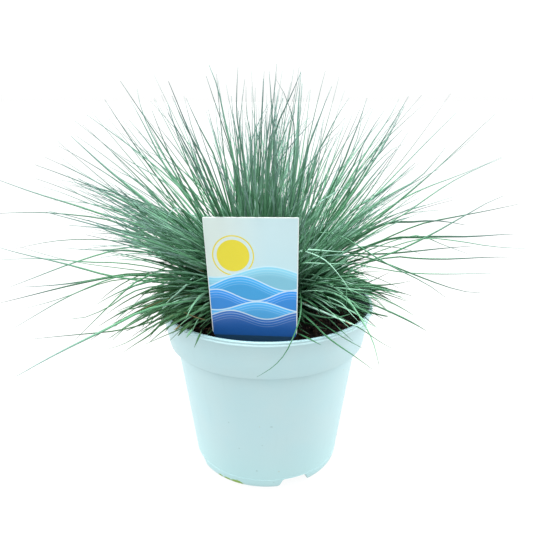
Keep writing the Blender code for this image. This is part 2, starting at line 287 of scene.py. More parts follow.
class Nodes:
    """A material and short ways to add nodes to it."""

    def __init__(self, name):
        self.material = bpy.data.materials.new(name)
        self.material.use_nodes = True
        self.tree = self.material.node_tree
        self.shader = self.tree.nodes["Principled BSDF"]

    def add(self, kind, **settings):
        node = self.tree.nodes.new(kind)
        for key, value in settings.items():
            setattr(node, key, value)
        return node

    def fill(self, node, values):
        """Links or sets a node's inputs, by their names or numbers."""
        for key, value in values.items():
            if isinstance(value, bpy.types.NodeSocket):
                self.tree.links.new(value, node.inputs[key])
            else:
                node.inputs[key].default_value = value

    def math(self, operation, *values):
        node = self.add("ShaderNodeMath", operation=operation)
        self.fill(node, dict(enumerate(values)))
        return node.outputs[0]

    def times(self, a, b):
        return self.math("MULTIPLY", a, b)

    def length(self, a, b):
        return self.math("SQRT", self.math("ADD", self.math("POWER", a, 2.0), self.math("POWER", b, 2.0)))

    def mix(self, share, a, b):
        node = self.add("ShaderNodeMix", data_type="RGBA")
        self.fill(node, {0: share, 6: opaque(a), 7: opaque(b)})
        return node.outputs[2]

    def tint(self, colour, mask, share, towards):
        """The colour, changed this much towards another where the mask is 1."""
        return self.mix(self.times(mask, share), colour, towards)

    def ramp(self, value, *stops):
        node = self.add("ShaderNodeValToRGB")
        points = node.color_ramp.elements
        while len(points) < len(stops):
            points.new(0.5)
        for point, (place, colour) in zip(points, stops):
            point.position = place
            point.color = opaque(colour)
        self.fill(node, {0: value})
        return node.outputs[0]

    def step(self, value, low, high):
        """0 at low, 1 at high, smooth between and flat beyond, whichever of the two is greater."""
        node = self.add("ShaderNodeMapRange", interpolation_type="SMOOTHSTEP")
        self.fill(node, {0: value, 1: low, 2: high})
        return node.outputs[0]

    def place(self):
        """Places in the object's own space, whole and split."""
        place = self.add("ShaderNodeTexCoord").outputs["Object"]
        parts = self.add("ShaderNodeSeparateXYZ")
        self.fill(parts, {0: place})
        return place, *parts.outputs

    def scaled(self, place, factors):
        node = self.add("ShaderNodeMapping")
        self.fill(node, {"Vector": place, "Scale": factors})
        return node.outputs[0]

    def noise(self, place, scale, detail=3.0, roughness=0.5):
        node = self.add("ShaderNodeTexNoise")
        self.fill(node, {"Vector": place, "Scale": scale, "Detail": detail, "Roughness": roughness})
        return node.outputs["Fac"]

    def cells(self, place, scale):
        """The distance from the nearest of many scattered points."""
        node = self.add("ShaderNodeTexVoronoi")
        self.fill(node, {"Vector": place, "Scale": scale})
        return node.outputs["Distance"]

    def attribute(self, name):
        return self.add("ShaderNodeAttribute", attribute_name=name).outputs["Fac"]

    def bump(self, height, distance, strength):
        node = self.add("ShaderNodeBump")
        self.fill(node, {"Strength": strength, "Distance": distance, "Height": height})
        self.fill(self.shader, {"Normal": node.outputs[0]})

    def finish(self, colour, roughness, specular):
        looks = {"Base Color": opaque(colour), "Roughness": roughness, "Specular IOR Level": specular}
        self.fill(self.shader, looks)
        return self.material


def patch_mask(n, round_mm, up_mm, ragged, patches):
    """Where the pot's outside lies in one of these ragged patches: places and half sizes in millimetres."""
    mask = 0.0
    for patch_round, patch_up, half_round, half_up in patches:
        off_round = n.math("DIVIDE", n.math("SUBTRACT", round_mm, patch_round), half_round)
        off_up = n.math("DIVIDE", n.math("SUBTRACT", up_mm, patch_up), half_up)
        edge = n.math("ADD", n.length(off_round, off_up), ragged)
        mask = n.math("MAXIMUM", n.step(edge, 1.1, 0.8), mask)
    return mask


def worn_plastic_and_lip_shade(n, place, z, grain, streak):
    """The aqua of the plastic: clouded, deeper towards the foot, rubbed in streaks, with painted shade on the
    lip.
    """
    cloud = n.noise(place, 38.0, 4.0, 0.55)
    colour = n.mix(n.step(cloud, 0.35, 0.7), (0.350, 0.512, 0.540), (0.366, 0.514, 0.536))
    colour = n.tint(colour, n.step(z, 0.055, 0.0), 0.55, (0.328, 0.545, 0.556))
    colour = n.tint(colour, n.step(streak, 0.56, 0.76), 0.16, (0.300, 0.446, 0.470))
    # Painted shade on the top of the lip, which keeps it from showing too bright.
    lip = n.step(z, POT_HEIGHT - 0.0016, POT_HEIGHT - 0.0006)
    colour = n.tint(colour, lip, 0.8, (0.250, 0.400, 0.425))
    colour = n.tint(colour, n.step(grain, 0.55, 0.8), 0.10, (0.42, 0.60, 0.62))
    return colour, cloud


def pot_material():
    """Pale aqua moulded plastic with faint mottling, rub marks, specks, splashes and stains."""
    n = Nodes("aqua_plastic")
    place, x, y, z = n.place()
    grain = n.noise(place, 900.0, 2.0, 0.6)
    streak = n.noise(n.scaled(place, (160.0, 160.0, 9.0)), 1.0, 3.0, 0.6)
    colour, cloud = worn_plastic_and_lip_shade(n, place, z, grain, streak)
    chosen = n.step(n.noise(place, 60.0, 2.0), 0.60, 0.68)
    specks = n.times(n.step(n.cells(place, 150.0), 0.13, 0.06), chosen)
    colour = n.tint(colour, specks, 0.55, (0.33, 0.36, 0.28))
    # Dust of dried splashes near the foot.
    splash = n.step(n.noise(place, 210.0, 5.0, 0.7), 0.62, 0.72)
    colour = n.tint(colour, n.times(splash, n.step(z, 0.030, 0.004)), 0.35, (0.40, 0.45, 0.38))
    azimuth = n.math("ARCTAN2", x, n.times(y, -1.0))
    round_mm = n.times(azimuth, 1000.0 * BODY_FOOT_RADIUS)
    up_mm = n.times(z, 1000.0)
    ragged = n.math("MULTIPLY_ADD", n.noise(place, 900.0, 3.0, 0.6), 1.3, -0.65)
    algae = patch_mask(n, round_mm, up_mm, ragged, ALGAE_PATCHES_MM)
    green = n.mix(n.noise(place, 700.0), (0.090, 0.200, 0.016), (0.270, 0.420, 0.070))
    colour = n.mix(algae, colour, green)
    spots = patch_mask(n, round_mm, up_mm, ragged, SPOTS_MM)
    colour = n.tint(colour, spots, 0.50, (0.200, 0.300, 0.290))
    rough = n.math("ADD", n.math("MULTIPLY_ADD", cloud, 0.16, 0.36), n.times(algae, 0.3))
    n.bump(n.math("ADD", n.times(grain, 0.6), n.times(streak, 0.4)), 0.00012, 0.5)
    return n.finish(colour, rough, 0.45)


def soil_material():
    """Dark moist peat, with a colour for each crumb and fine lighter specks."""
    n = Nodes("peat")
    place = n.place()[0]
    wet = n.ramp(
        n.noise(place, 190.0, 5.0, 0.65),
        (0.30, (0.0012, 0.0010, 0.0010)),
        (0.50, (0.0120, 0.0078, 0.0062)),
        (0.66, (0.0480, 0.0280, 0.0200)),
        (0.82, (0.1300, 0.0760, 0.0540)),
    )
    crumb = n.ramp(
        n.attribute("tone"),
        (0.0, (0.0020, 0.0016, 0.0015)),
        (0.45, (0.0230, 0.0140, 0.0105)),
        (0.80, (0.1000, 0.0540, 0.0360)),
        (1.0, (0.3000, 0.1600, 0.0950)),
    )
    chosen = n.step(n.noise(place, 330.0, 2.0), 0.58, 0.66)
    specks = n.times(n.step(n.cells(place, 620.0), 0.22, 0.10), chosen)
    colour = n.mix(specks, n.mix(0.5, wet, crumb), (0.36, 0.22, 0.14))
    n.bump(n.noise(place, 1400.0, 4.0, 0.7), 0.0005, 0.8)
    return n.finish(colour, 0.93, 0.25)


def leaf_green(n, place, x, z):
    """Blue-green by each leaf's tone, a waxy bloom partly painted sheen, painted shade in the fold and low on
    the left.
    """
    green = n.ramp(
        n.attribute("tone"),
        (0.0, (0.006, 0.040, 0.010)),
        (0.22, (0.032, 0.132, 0.052)),
        (0.50, (0.114, 0.298, 0.166)),
        (0.75, (0.220, 0.450, 0.308)),
        (1.0, (0.355, 0.590, 0.485)),
    )
    # Lighter patches: the leaves' waxy bloom, and partly painted sheen in place of a stronger specular.
    bloom_and_sheen = n.step(n.noise(place, 260.0, 3.0, 0.6), 0.42, 0.66)
    green = n.tint(green, bloom_and_sheen, 0.16, (0.200, 0.390, 0.290))
    # Painted shade in the fold: darker towards the fold's bottom corner.
    green = n.tint(green, n.attribute("side"), 0.60, (0.012, 0.065, 0.022))
    # Painted shade on the low leaves at the left: darker and more olive there.
    old = n.times(n.step(z, 0.172, 0.138), n.step(x, -0.020, -0.060))
    return n.tint(green, old, 0.54, (0.055, 0.115, 0.036))


def leaf_material():
    """Fescue leaves: greyer towards a far tip, darker at the base partly as painted shade, painted shade in
    the clump's heart, straw when dry.
    """
    n = Nodes("fescue_leaf")
    place, x, y, z = n.place()
    along = n.attribute("along")
    green = leaf_green(n, place, x, z)
    from_heart = n.add("ShaderNodeVectorMath", operation="DISTANCE")
    flattened = n.scaled(place, (1.0, 1.0, HEART_FLATNESS))
    n.fill(from_heart, {0: flattened, 1: (0.0, 0.0, HEART_FLATNESS * SOIL_LEVEL)})
    away = from_heart.outputs["Value"]
    far_tip = n.times(n.step(along, 0.52, 0.98), n.step(away, 0.100, 0.180))
    green = n.tint(green, far_tip, 0.68, (0.155, 0.220, 0.240))
    # Darker at the leaf's base: partly its own older base, partly painted shade.
    base = n.times(n.step(along, 0.30, 0.04), 0.85)
    # Painted shade in the clump's heart, where the leaves shade each other.
    heart = n.times(n.step(away, 0.096, 0.040), 0.86)
    colour = n.mix(n.math("MAXIMUM", base, heart), green, (0.003, 0.010, 0.004))
    straw = n.ramp(n.noise(place, 150.0, 3.0), (0.35, (0.100, 0.048, 0.020)), (0.65, (0.250, 0.150, 0.065)))
    colour = n.mix(n.attribute("dry"), colour, straw)
    return n.finish(colour, 0.50, 0.11)


def printed_disc(n, colour, mm_across, mm_up):
    """A yellow disc with a thin ring round it."""
    yellow = (0.560, 0.488, 0.010)
    from_middle = n.length(n.math("SUBTRACT", mm_across, DISC_MM[0]), n.math("SUBTRACT", mm_up, DISC_MM[1]))
    colour = n.mix(n.step(from_middle, DISC_RADIUS_MM + PRINT_EDGE_MM, DISC_RADIUS_MM), colour, yellow)
    inside = n.step(from_middle, RING_MM[1] + PRINT_EDGE_MM, RING_MM[1])
    outside = n.step(from_middle, RING_MM[0] - PRINT_EDGE_MM, RING_MM[0])
    return n.mix(n.times(inside, outside), colour, yellow)


def printed_band(n, colour, mm_across, mm_up, band):
    """A rolling band that shades downwards, with pale lines along its top."""
    level, swing, wave, start, tint = band
    sway = n.math("SINE", n.math("MULTIPLY_ADD", mm_across, wave, start))
    under = n.math("SUBTRACT", n.math("MULTIPLY_ADD", sway, swing, level), mm_up)
    shaded = n.mix(n.step(under, 0.0, 9.0), tint, tuple(0.72 * part for part in tint))
    colour = n.mix(n.step(under, -LINE_BLUR, LINE_BLUR), colour, shaded)
    for depth, width, share in BAND_LINES:
        upper = n.step(under, depth - LINE_BLUR, depth + LINE_BLUR)
        lower = n.step(under, depth + width + LINE_BLUR, depth + width - LINE_BLUR)
        colour = n.tint(colour, n.times(upper, lower), share, (0.512, 0.640, 0.672))
    return colour


def label_material():
    """A printed card: pale ground, a yellow disc, rolling blue bands, a dark strip; a bare rim and back."""
    n = Nodes("label_print")
    place, across, up, out = n.place()
    mm_across = n.times(across, 1000.0)
    mm_up = n.times(up, 1000.0)
    colour = n.mix(n.step(mm_across, -26.0, 14.0), (0.480, 0.568, 0.540), (0.365, 0.544, 0.594))
    colour = n.tint(colour, n.step(mm_up, 30.0, 78.0), 0.30, (0.512, 0.592, 0.592))
    colour = printed_disc(n, colour, mm_across, mm_up)
    for band in BANDS:
        colour = printed_band(n, colour, mm_across, mm_up, band)
    strip_foot, strip_top = STRIP_MM
    colour = n.mix(n.step(mm_up, strip_top, strip_top - PRINT_EDGE_MM), colour, (0.002, 0.036, 0.088))
    colour = n.mix(n.step(mm_up, strip_foot, strip_foot - PRINT_EDGE_MM), colour, (0.560, 0.608, 0.608))
    half = n.math("MULTIPLY_ADD", up, label_taper(), LABEL_RIM_HALF_WIDTH)
    inside = n.math("SUBTRACT", half, n.math("ABSOLUTE", across))
    margin = n.math("MINIMUM", inside, n.math("SUBTRACT", LABEL_TOP, up))
    colour = n.mix(n.step(margin, *BARE_RIM), colour, (0.576, 0.632, 0.632))
    fibre = n.noise(place, 1500.0, 2.0)
    colour = n.tint(colour, fibre, 0.05, (0.30, 0.30, 0.30))
    bare = n.mix(n.times(n.noise(place, 90.0), 0.15), (0.592, 0.632, 0.624), (0.55, 0.55, 0.55))
    colour = n.mix(n.step(out, 0.0, -0.0001), colour, bare)
    n.bump(fibre, 0.00002, 0.3)
    return n.finish(colour, n.math("MULTIPLY_ADD", fibre, 0.12, 0.30), 0.5)


# Meshes --------------------


def add_object(name, data):
    thing = bpy.data.objects.new(name, data)
    bpy.context.scene.collection.objects.link(thing)
    return thing


def add_piece(name, mesh, material, slot, *replaced):
    piece = add_object(name, mesh)
    mesh.materials.clear()
    mesh.materials.append(material)
    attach(piece, BODY)
    if replaced:
        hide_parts(*replaced)
    return piece


def mesh_from(bm, name):
    mesh = bpy.data.meshes.new(name)
    bm.to_mesh(mesh)
    bm.free()
    return mesh


def joined(name, vertices, faces, **attributes):
    """A mesh from plain lists, with a value for each vertex in every attribute."""
    mesh = bpy.data.meshes.new(name)
    mesh.from_pydata(vertices, [], faces)
    for attribute, values in attributes.items():
        mesh.attributes.new(attribute, "FLOAT", "POINT").data.foreach_set("value", values)
    return mesh


def shade(mesh, degrees):
    """Smooth, with edges kept sharp from this angle on."""
    mesh.shade_smooth()
    mesh.set_sharp_from_angle(angle=math.radians(degrees))


def arc(radius, height, size, start_deg, end_deg, count):
    """Places on an arc of this size round (radius, height), from the start angle to the end angle."""
    points = []
    for i in range(count + 1):
        angle = math.radians(start_deg + (end_deg - start_deg) * i / count)
        points.append((radius + size * math.cos(angle), height + size * math.sin(angle)))
    return points


def circle(radius, count):
    """Flat places round the axis."""
    angles = (2 * math.pi * k / count for k in range(count))
    return [(radius * math.cos(angle), radius * math.sin(angle)) for angle in angles]


def body_radius(height):
    return BODY_FOOT_RADIUS + (BODY_TOP_RADIUS - BODY_FOOT_RADIUS) * height / COLLAR_BOTTOM


def collar_radius(height):
    share = (height - COLLAR_BOTTOM) / (LIP_BOTTOM - COLLAR_BOTTOM)
    return COLLAR_BOTTOM_RADIUS + (COLLAR_TOP_RADIUS - COLLAR_BOTTOM_RADIUS) * share


def inside_profile():
    """The floor and the inside of the wall, up to the lip."""
    floor = FOOT_RECESS_HEIGHT + WALL
    step = COLLAR_BOTTOM + WALL
    corner = body_radius(floor) - 3 * WALL
    points = [(0.0, floor), (corner, floor)]
    points += arc(corner, floor + 2 * WALL, 2 * WALL, -90, 0, 5)
    points += [(body_radius(step - WALL) - WALL, step - WALL), (collar_radius(step) - WALL, step)]
    return points + [(collar_radius(LIP_BOTTOM) - WALL, LIP_BOTTOM)]


def lip_profile():
    """The lip, whose face has a shallow groove between two rounded beads."""
    inside = collar_radius(LIP_BOTTOM) - WALL
    inner_centre = inside + LIP_INNER_STEP + LIP_INNER_ROUND
    points = arc(inner_centre, POT_HEIGHT - LIP_INNER_ROUND, LIP_INNER_ROUND, 180, 90, 4)
    points += arc(LIP_RADIUS - UPPER_BEAD_BACK - UPPER_BEAD, POT_HEIGHT - UPPER_BEAD, UPPER_BEAD, 90, 10, 6)
    points += [(LIP_RADIUS - inwards, POT_HEIGHT - down) for inwards, down in GROOVE_IN_AND_DOWN]
    points += arc(LIP_RADIUS - LOWER_BEAD, POT_HEIGHT - LOWER_BEAD_DOWN, LOWER_BEAD, 70, 0, 4)
    points += [(LIP_RADIUS, LIP_BOTTOM + LOWER_BEAD)]
    return points + arc(LIP_RADIUS - LIP_FOOT_ROUND, LIP_BOTTOM + LIP_FOOT_ROUND, LIP_FOOT_ROUND, 0, -90, 4)


def outside_profile():
    """The collar and the body under it, down to the foot line."""
    top = collar_radius(LIP_BOTTOM)
    middle = (COLLAR_BOTTOM + LIP_BOTTOM) / 2
    points = [(top + LIP_FILLET, LIP_BOTTOM), (top, LIP_BOTTOM - LIP_FILLET)]
    points += [(collar_radius(middle), middle)]
    points += [(COLLAR_BOTTOM_RADIUS + LEDGE_TOP_OUT, COLLAR_BOTTOM + LEDGE_TOP_UP)]
    points += arc(COLLAR_BOTTOM_RADIUS - LEDGE_ROUND, COLLAR_BOTTOM + LEDGE_ROUND, LEDGE_ROUND, 0, -90, 4)
    points += arc(BODY_TOP_RADIUS + LEDGE_ROUND, COLLAR_BOTTOM - LEDGE_ROUND, LEDGE_ROUND, 90, 180, 4)
    heights = [share * COLLAR_BOTTOM for share in BODY_HEIGHT_SHARES]
    points += [(body_radius(height), height) for height in heights]
    return points + [(body_radius(FOOT_LINE), FOOT_LINE + FOOT_LINE_STEP)]


def foot_profile():
    """The foot, which stands out a little from the body over it, and the recess under the floor."""
    foot = [(BODY_FOOT_RADIUS + FOOT_LINE_STEP, FOOT_LINE)]
    foot += arc(BODY_FOOT_RADIUS - FOOT_CORNER, FOOT_CORNER, FOOT_CORNER, 0, -90, 12)
    points = [(radius + body_radius(height) - BODY_FOOT_RADIUS, height) for radius, height in foot]
    points += [(FOOT_RING_INNER_RADIUS, 0.0), (FOOT_RING_INNER_RADIUS - RING_CHAMFER, RING_CHAMFER)]
    return points + [(FOOT_RING_INNER_RADIUS - WALL, FOOT_RECESS_HEIGHT), (0.0, FOOT_RECESS_HEIGHT)]


def turned(name, points, steps):
    """A mesh turned from (radius, height) points, closed at the axis."""
    bm = bmesh.new()
    corners = [bm.verts.new((radius, 0.0, height)) for radius, height in points]
    edges = [bm.edges.new(pair) for pair in zip(corners, corners[1:])]
    bmesh.ops.spin(
        bm, geom=corners + edges, axis=UP, cent=(0, 0, 0), angle=2 * math.pi, steps=steps, use_merge=True,
    )
    bmesh.ops.remove_doubles(bm, verts=bm.verts, dist=MERGE)
    bmesh.ops.recalc_face_normals(bm, faces=bm.faces)
    return mesh_from(bm, name)


def add_notch_cutter(bm, turn):
    """A block through the foot, wider at its foot, with rounded upper corners."""
    near = FOOT_RING_INNER_RADIUS - 3 * WALL
    far = BODY_FOOT_RADIUS + 2 * WALL
    corners = bmesh.ops.create_cube(bm, size=1.0)["verts"]
    for corner in corners:
        is_top = corner.co.z > 0
        width = NOTCH_TOP_WIDTH if is_top else 2 * NOTCH_FOOT_WIDTH - NOTCH_TOP_WIDTH
        corner.co.x = far if corner.co.x > 0 else near
        corner.co.y = math.copysign(width / 2, corner.co.y)
        corner.co.z = NOTCH_HEIGHT if is_top else -NOTCH_HEIGHT
    upper_edges = {
        edge
        for corner in corners
        for edge in corner.link_edges
        if all(end.co.z > 0 for end in edge.verts) and abs(edge.verts[0].co.x - edge.verts[1].co.x) > MERGE
    }
    made = bmesh.ops.bevel(bm, geom=list(upper_edges), offset=NOTCH_ROUND, segments=3, affect="EDGES")
    whole = set(corners) | set(made["verts"])
    bmesh.ops.transform(bm, matrix=turn, verts=[corner for corner in whole if corner.is_valid])


def foot_cutters():
    """What is cut from the foot: the notches, and a drain hole behind each."""
    bm = bmesh.new()
    for i in range(NOTCH_COUNT):
        turn = Matrix.Rotation(math.radians(FIRST_NOTCH_DEG + 360 / NOTCH_COUNT * i), 4, "Z")
        add_notch_cutter(bm, turn)
        bmesh.ops.create_cone(
            bm,
            cap_ends=True,
            segments=28,
            radius1=DRAIN_RADIUS,
            radius2=DRAIN_RADIUS,
            depth=6 * WALL,
            matrix=turn @ Matrix.Translation((DRAIN_CIRCLE_RADIUS, 0.0, FOOT_RECESS_HEIGHT)),
        )
    bmesh.ops.recalc_face_normals(bm, faces=bm.faces)
    return mesh_from(bm, "foot_cutters")


def cut(mesh, cutter_mesh):
    """The mesh less the cutter, as a new mesh."""
    body = add_object("cut_body", mesh)
    cutter = add_object("cut_cutter", cutter_mesh)
    difference = body.modifiers.new("Cut", "BOOLEAN")
    difference.operation = "DIFFERENCE"
    difference.solver = "EXACT"
    difference.object = cutter
    bpy.context.view_layer.update()
    result = bpy.data.meshes.new_from_object(body.evaluated_get(bpy.context.evaluated_depsgraph_get()))
    for thing in (body, cutter):
        bpy.data.objects.remove(thing)
    return result


def build_pot():
    section = inside_profile() + lip_profile() + outside_profile() + foot_profile()
    mesh = cut(turned("pot_wall", section, POT_STEPS), foot_cutters())
    mesh.name = "nursery_pot"
    shade(mesh, 40)
    add_piece("nursery_pot", mesh, pot_material(), "pot", "pot")


# Soil --------------------


def soil_height(x, y):
    """The soil's top: lumps, crumbs and grains that fade out at the wall."""
    place = Vector((x, y, 0.0))
    lumps = 0.0016 * noise.noise(place / 0.012)
    crumbs = 0.0011 * noise.noise(place / 0.0036 + Vector((7.0, 3.0, 1.0)))
    grains = 0.0006 * noise.noise(place / 0.0014 + Vector((1.0, 9.0, 4.0)))
    fade = share_of((SOIL_EDGE_RADIUS - math.hypot(x, y)) / 0.004)
    return SOIL_LEVEL + (lumps + crumbs + grains) * fade


def soil_mesh():
    """The soil's rough top, and its sides inside the pot's wall down to the floor."""
    bm = bmesh.new()
    middle = bm.verts.new((0.0, 0.0, soil_height(0.0, 0.0)))
    rings = []
    for i in range(1, SOIL_RINGS + 1):
        flat = circle(SOIL_EDGE_RADIUS * (i / SOIL_RINGS) ** 0.8, SOIL_SPOKES)
        rings.append([bm.verts.new((x, y, soil_height(x, y))) for x, y in flat])
    floor = FOOT_RECESS_HEIGHT + WALL + 0.0004
    inner_step = COLLAR_BOTTOM + 2 * WALL
    for radius, height in (
        (collar_radius(inner_step) - 1.4 * WALL, inner_step),
        (body_radius(COLLAR_BOTTOM) - 1.4 * WALL, COLLAR_BOTTOM - WALL),
        (body_radius(floor) - 3.4 * WALL, floor),
    ):
        rings.append([bm.verts.new((x, y, height)) for x, y in circle(radius, SOIL_SPOKES)])
    for k in range(SOIL_SPOKES):
        after = (k + 1) % SOIL_SPOKES
        bm.faces.new((middle, rings[0][k], rings[0][after]))
        for inner, outer in zip(rings, rings[1:]):
            bm.faces.new((inner[k], outer[k], outer[after], inner[after]))
    bm.faces.new(rings[-1][::-1])
    mesh = mesh_from(bm, "peat")
    mesh.attributes.new("tone", "FLOAT", "POINT").data.foreach_set("value", [SOIL_TONE] * len(mesh.vertices))
    shade(mesh, 60)
    return mesh


def soil_spot(margin, least, rng):
    """A random flat place on the soil, this far from its edge and outside the middle."""
    radius = (SOIL_EDGE_RADIUS - margin) * math.sqrt(rng.uniform(least, 1.0))
    angle = rng.uniform(0, 2 * math.pi)
    return radius * math.cos(angle), radius * math.sin(angle)


def crumb(number, ball, rng):
    """A rough squashed ball that lies on the soil."""
    x, y = soil_spot(0.003, 0.08, rng)
    size = 0.0006 + 0.0021 * rng.random() ** 2.6
    angle = rng.uniform(0, 6.28)
    spin = Matrix.Rotation(angle, 3, Vector((rng.gauss(0, 1), rng.gauss(0, 1), 0.3)).normalized())
    shape = Vector((rng.uniform(0.7, 1.3), rng.uniform(0.7, 1.3), rng.uniform(0.45, 0.9)))
    centre = Vector((x, y, soil_height(x, y) + 0.35 * size))
    vertices = []
    for corner in ball:
        rough = 1.0 + 0.45 * noise.noise(corner * 1.3 + Vector((number, 0.0, 0.0)))
        vertices.append(centre + size * rough * (spin @ (corner * shape)))
    return vertices


def fibre(number, rng):
    """A thin three-sided thread that winds over the soil."""
    place = Vector((*soil_spot(0.006, 0.15, rng), 0.0))
    heading = rng.uniform(0, 2 * math.pi)
    length = rng.uniform(0.003, 0.011)
    thick = rng.uniform(0.00012, 0.00032)
    vertices = []
    for k in range(FIBRE_POINTS):
        heading += rng.uniform(-0.5, 0.5)
        place = place + ray(0.0, heading) * length / (FIBRE_POINTS - 1)
        place = place * min(1.0, (SOIL_EDGE_RADIUS - 0.002) / math.hypot(place.x, place.y))
        across = Vector((-math.sin(heading), math.cos(heading), 0.0)) * thick
        lift = soil_height(place.x, place.y) + 0.0008 + 0.0004 * math.sin(k + number)
        spot = place + lift * UP
        vertices += [spot + across, spot - across, spot + 1.6 * thick * UP]
    return vertices


def tube_faces(sides, count):
    """The sides of a closed tube, ring by ring, then its two ends."""
    faces = []
    for low in range(0, (count - 1) * sides, sides):
        for k in range(sides):
            after = (k + 1) % sides
            faces.append((low + k, low + sides + k, low + sides + after, low + after))
    last = (count - 1) * sides
    return faces + [tuple(range(sides)), tuple(reversed(range(last, last + sides)))]


def crumb_mesh(rng):
    """Loose crumbs and fibres of peat on the soil's top, joined."""
    seed = bmesh.new()
    bmesh.ops.create_icosphere(seed, subdivisions=1, radius=1.0)
    ball = [corner.co.copy() for corner in seed.verts]
    ball_faces = [[corner.index for corner in face.verts] for face in seed.faces]
    seed.free()
    thread_faces = [face[::-1] for face in tube_faces(3, FIBRE_POINTS)]
    shapes = [(crumb(i, ball, rng), ball_faces, rng.random() ** 1.6) for i in range(CRUMBS)]
    shapes += [(fibre(i, rng), thread_faces, rng.uniform(0.7, 1.0)) for i in range(FIBRES)]
    vertices, faces, tones = [], [], []
    for corners, corner_faces, tone in shapes:
        faces += [[len(vertices) + k for k in face] for face in corner_faces]
        vertices += corners
        tones += [tone] * len(corners)
    mesh = joined("peat_crumbs", vertices, faces, tone=tones)
    lay_out_faces(mesh)
    shade(mesh, 50)
    return mesh


def lay_out_faces(mesh):
    """A bake map with a cell of its own for each face."""
    layer = mesh.uv_layers.new(name=BAKE_MAP)
    across = math.ceil(math.sqrt(len(mesh.polygons)))
    corners = ((0.08, 0.08), (0.92, 0.08), (0.92, 0.92), (0.08, 0.92))
    for i, face in enumerate(mesh.polygons):
        for loop, (u, v) in zip(face.loop_indices, corners):
            layer.data[loop].uv = ((i % across + u) / across, (i // across + v) / across)


def build_soil(rng):
    material = soil_material()
    add_piece("peat", soil_mesh(), material, "soil", "potting_soil")
    add_piece("peat_crumbs", crumb_mesh(rng), material, "soil")


# Label --------------------


def label_place():
    """From the label's own plane (across, up, out to its front) to where it stands."""
    turn = Matrix.Rotation(math.radians(LABEL_TURN_DEG), 4, "Z")
    roll = Matrix.Rotation(math.radians(LABEL_ROLL_DEG), 4, "Y")
    lean = Matrix.Rotation(math.radians(90 + LABEL_LEAN_DEG), 4, "X")
    return Matrix.Translation(LABEL_RIM_POINT) @ turn @ roll @ lean


def label_taper():
    return (LABEL_TOP_HALF_WIDTH - LABEL_RIM_HALF_WIDTH) / LABEL_TOP


def label_half_width(up):
    return LABEL_RIM_HALF_WIDTH + label_taper() * up


def label_outline():
    """Corners of the label with small rounds at its top, counterclockwise as seen from the front."""
    right = [
        (LABEL_POINT_HALF_WIDTH, LABEL_POINT),
        (LABEL_SHOULDER_HALF_WIDTH, LABEL_SHOULDER),
        (LABEL_RIM_HALF_WIDTH, 0.0),
    ]
    right += arc(LABEL_TOP_HALF_WIDTH - LABEL_CORNER, LABEL_TOP - LABEL_CORNER, LABEL_CORNER, 0, 90, 4)
    return right + [(-across, up) for across, up in reversed(right)]


def build_label():
    bm = bmesh.new()
    face = bm.faces.new([bm.verts.new((across, up, LABEL_THICKNESS / 2)) for across, up in label_outline()])
    made = bmesh.ops.extrude_face_region(bm, geom=[face])
    back = [corner for corner in made["geom"] if isinstance(corner, bmesh.types.BMVert)]
    bmesh.ops.translate(bm, verts=back, vec=(0.0, 0.0, -LABEL_THICKNESS))
    bmesh.ops.recalc_face_normals(bm, faces=bm.faces)
    rims = [edge for edge in bm.edges if abs(edge.verts[0].co.z - edge.verts[1].co.z) < MERGE]
    bmesh.ops.bevel(bm, geom=rims, offset=LABEL_EDGE, segments=1, affect="EDGES")
    label = add_piece("label_card", mesh_from(bm, "label_card"), label_material(), "label", "plant_label")
    label.matrix_world = label_place()


# Leaves --------------------


def leaf_map(left, bottom, wide, tall, count):
    """The leaf's cell of the bake map, in the order of tube_faces: its sides in a strip, then its ends."""
    uvs = []
    for i in range(count - 1):
        low, high = (bottom + tall * (0.04 + 0.96 * (i + end) / (count - 1)) for end in (0, 1))
        for k in range(LEAF_SIDES):
            near, far = (left + wide * (k + edge) / LEAF_SIDES for edge in (0, 1))
            uvs += [(near, low), (near, high), (far, high), (far, low)]
    for middle in (0.25, 0.75):
        for x, y in circle(1.0, LEAF_SIDES):
            uvs.append((left + wide * (middle + 0.1 * x), bottom + tall * (0.018 + 0.012 * y)))
    return uvs


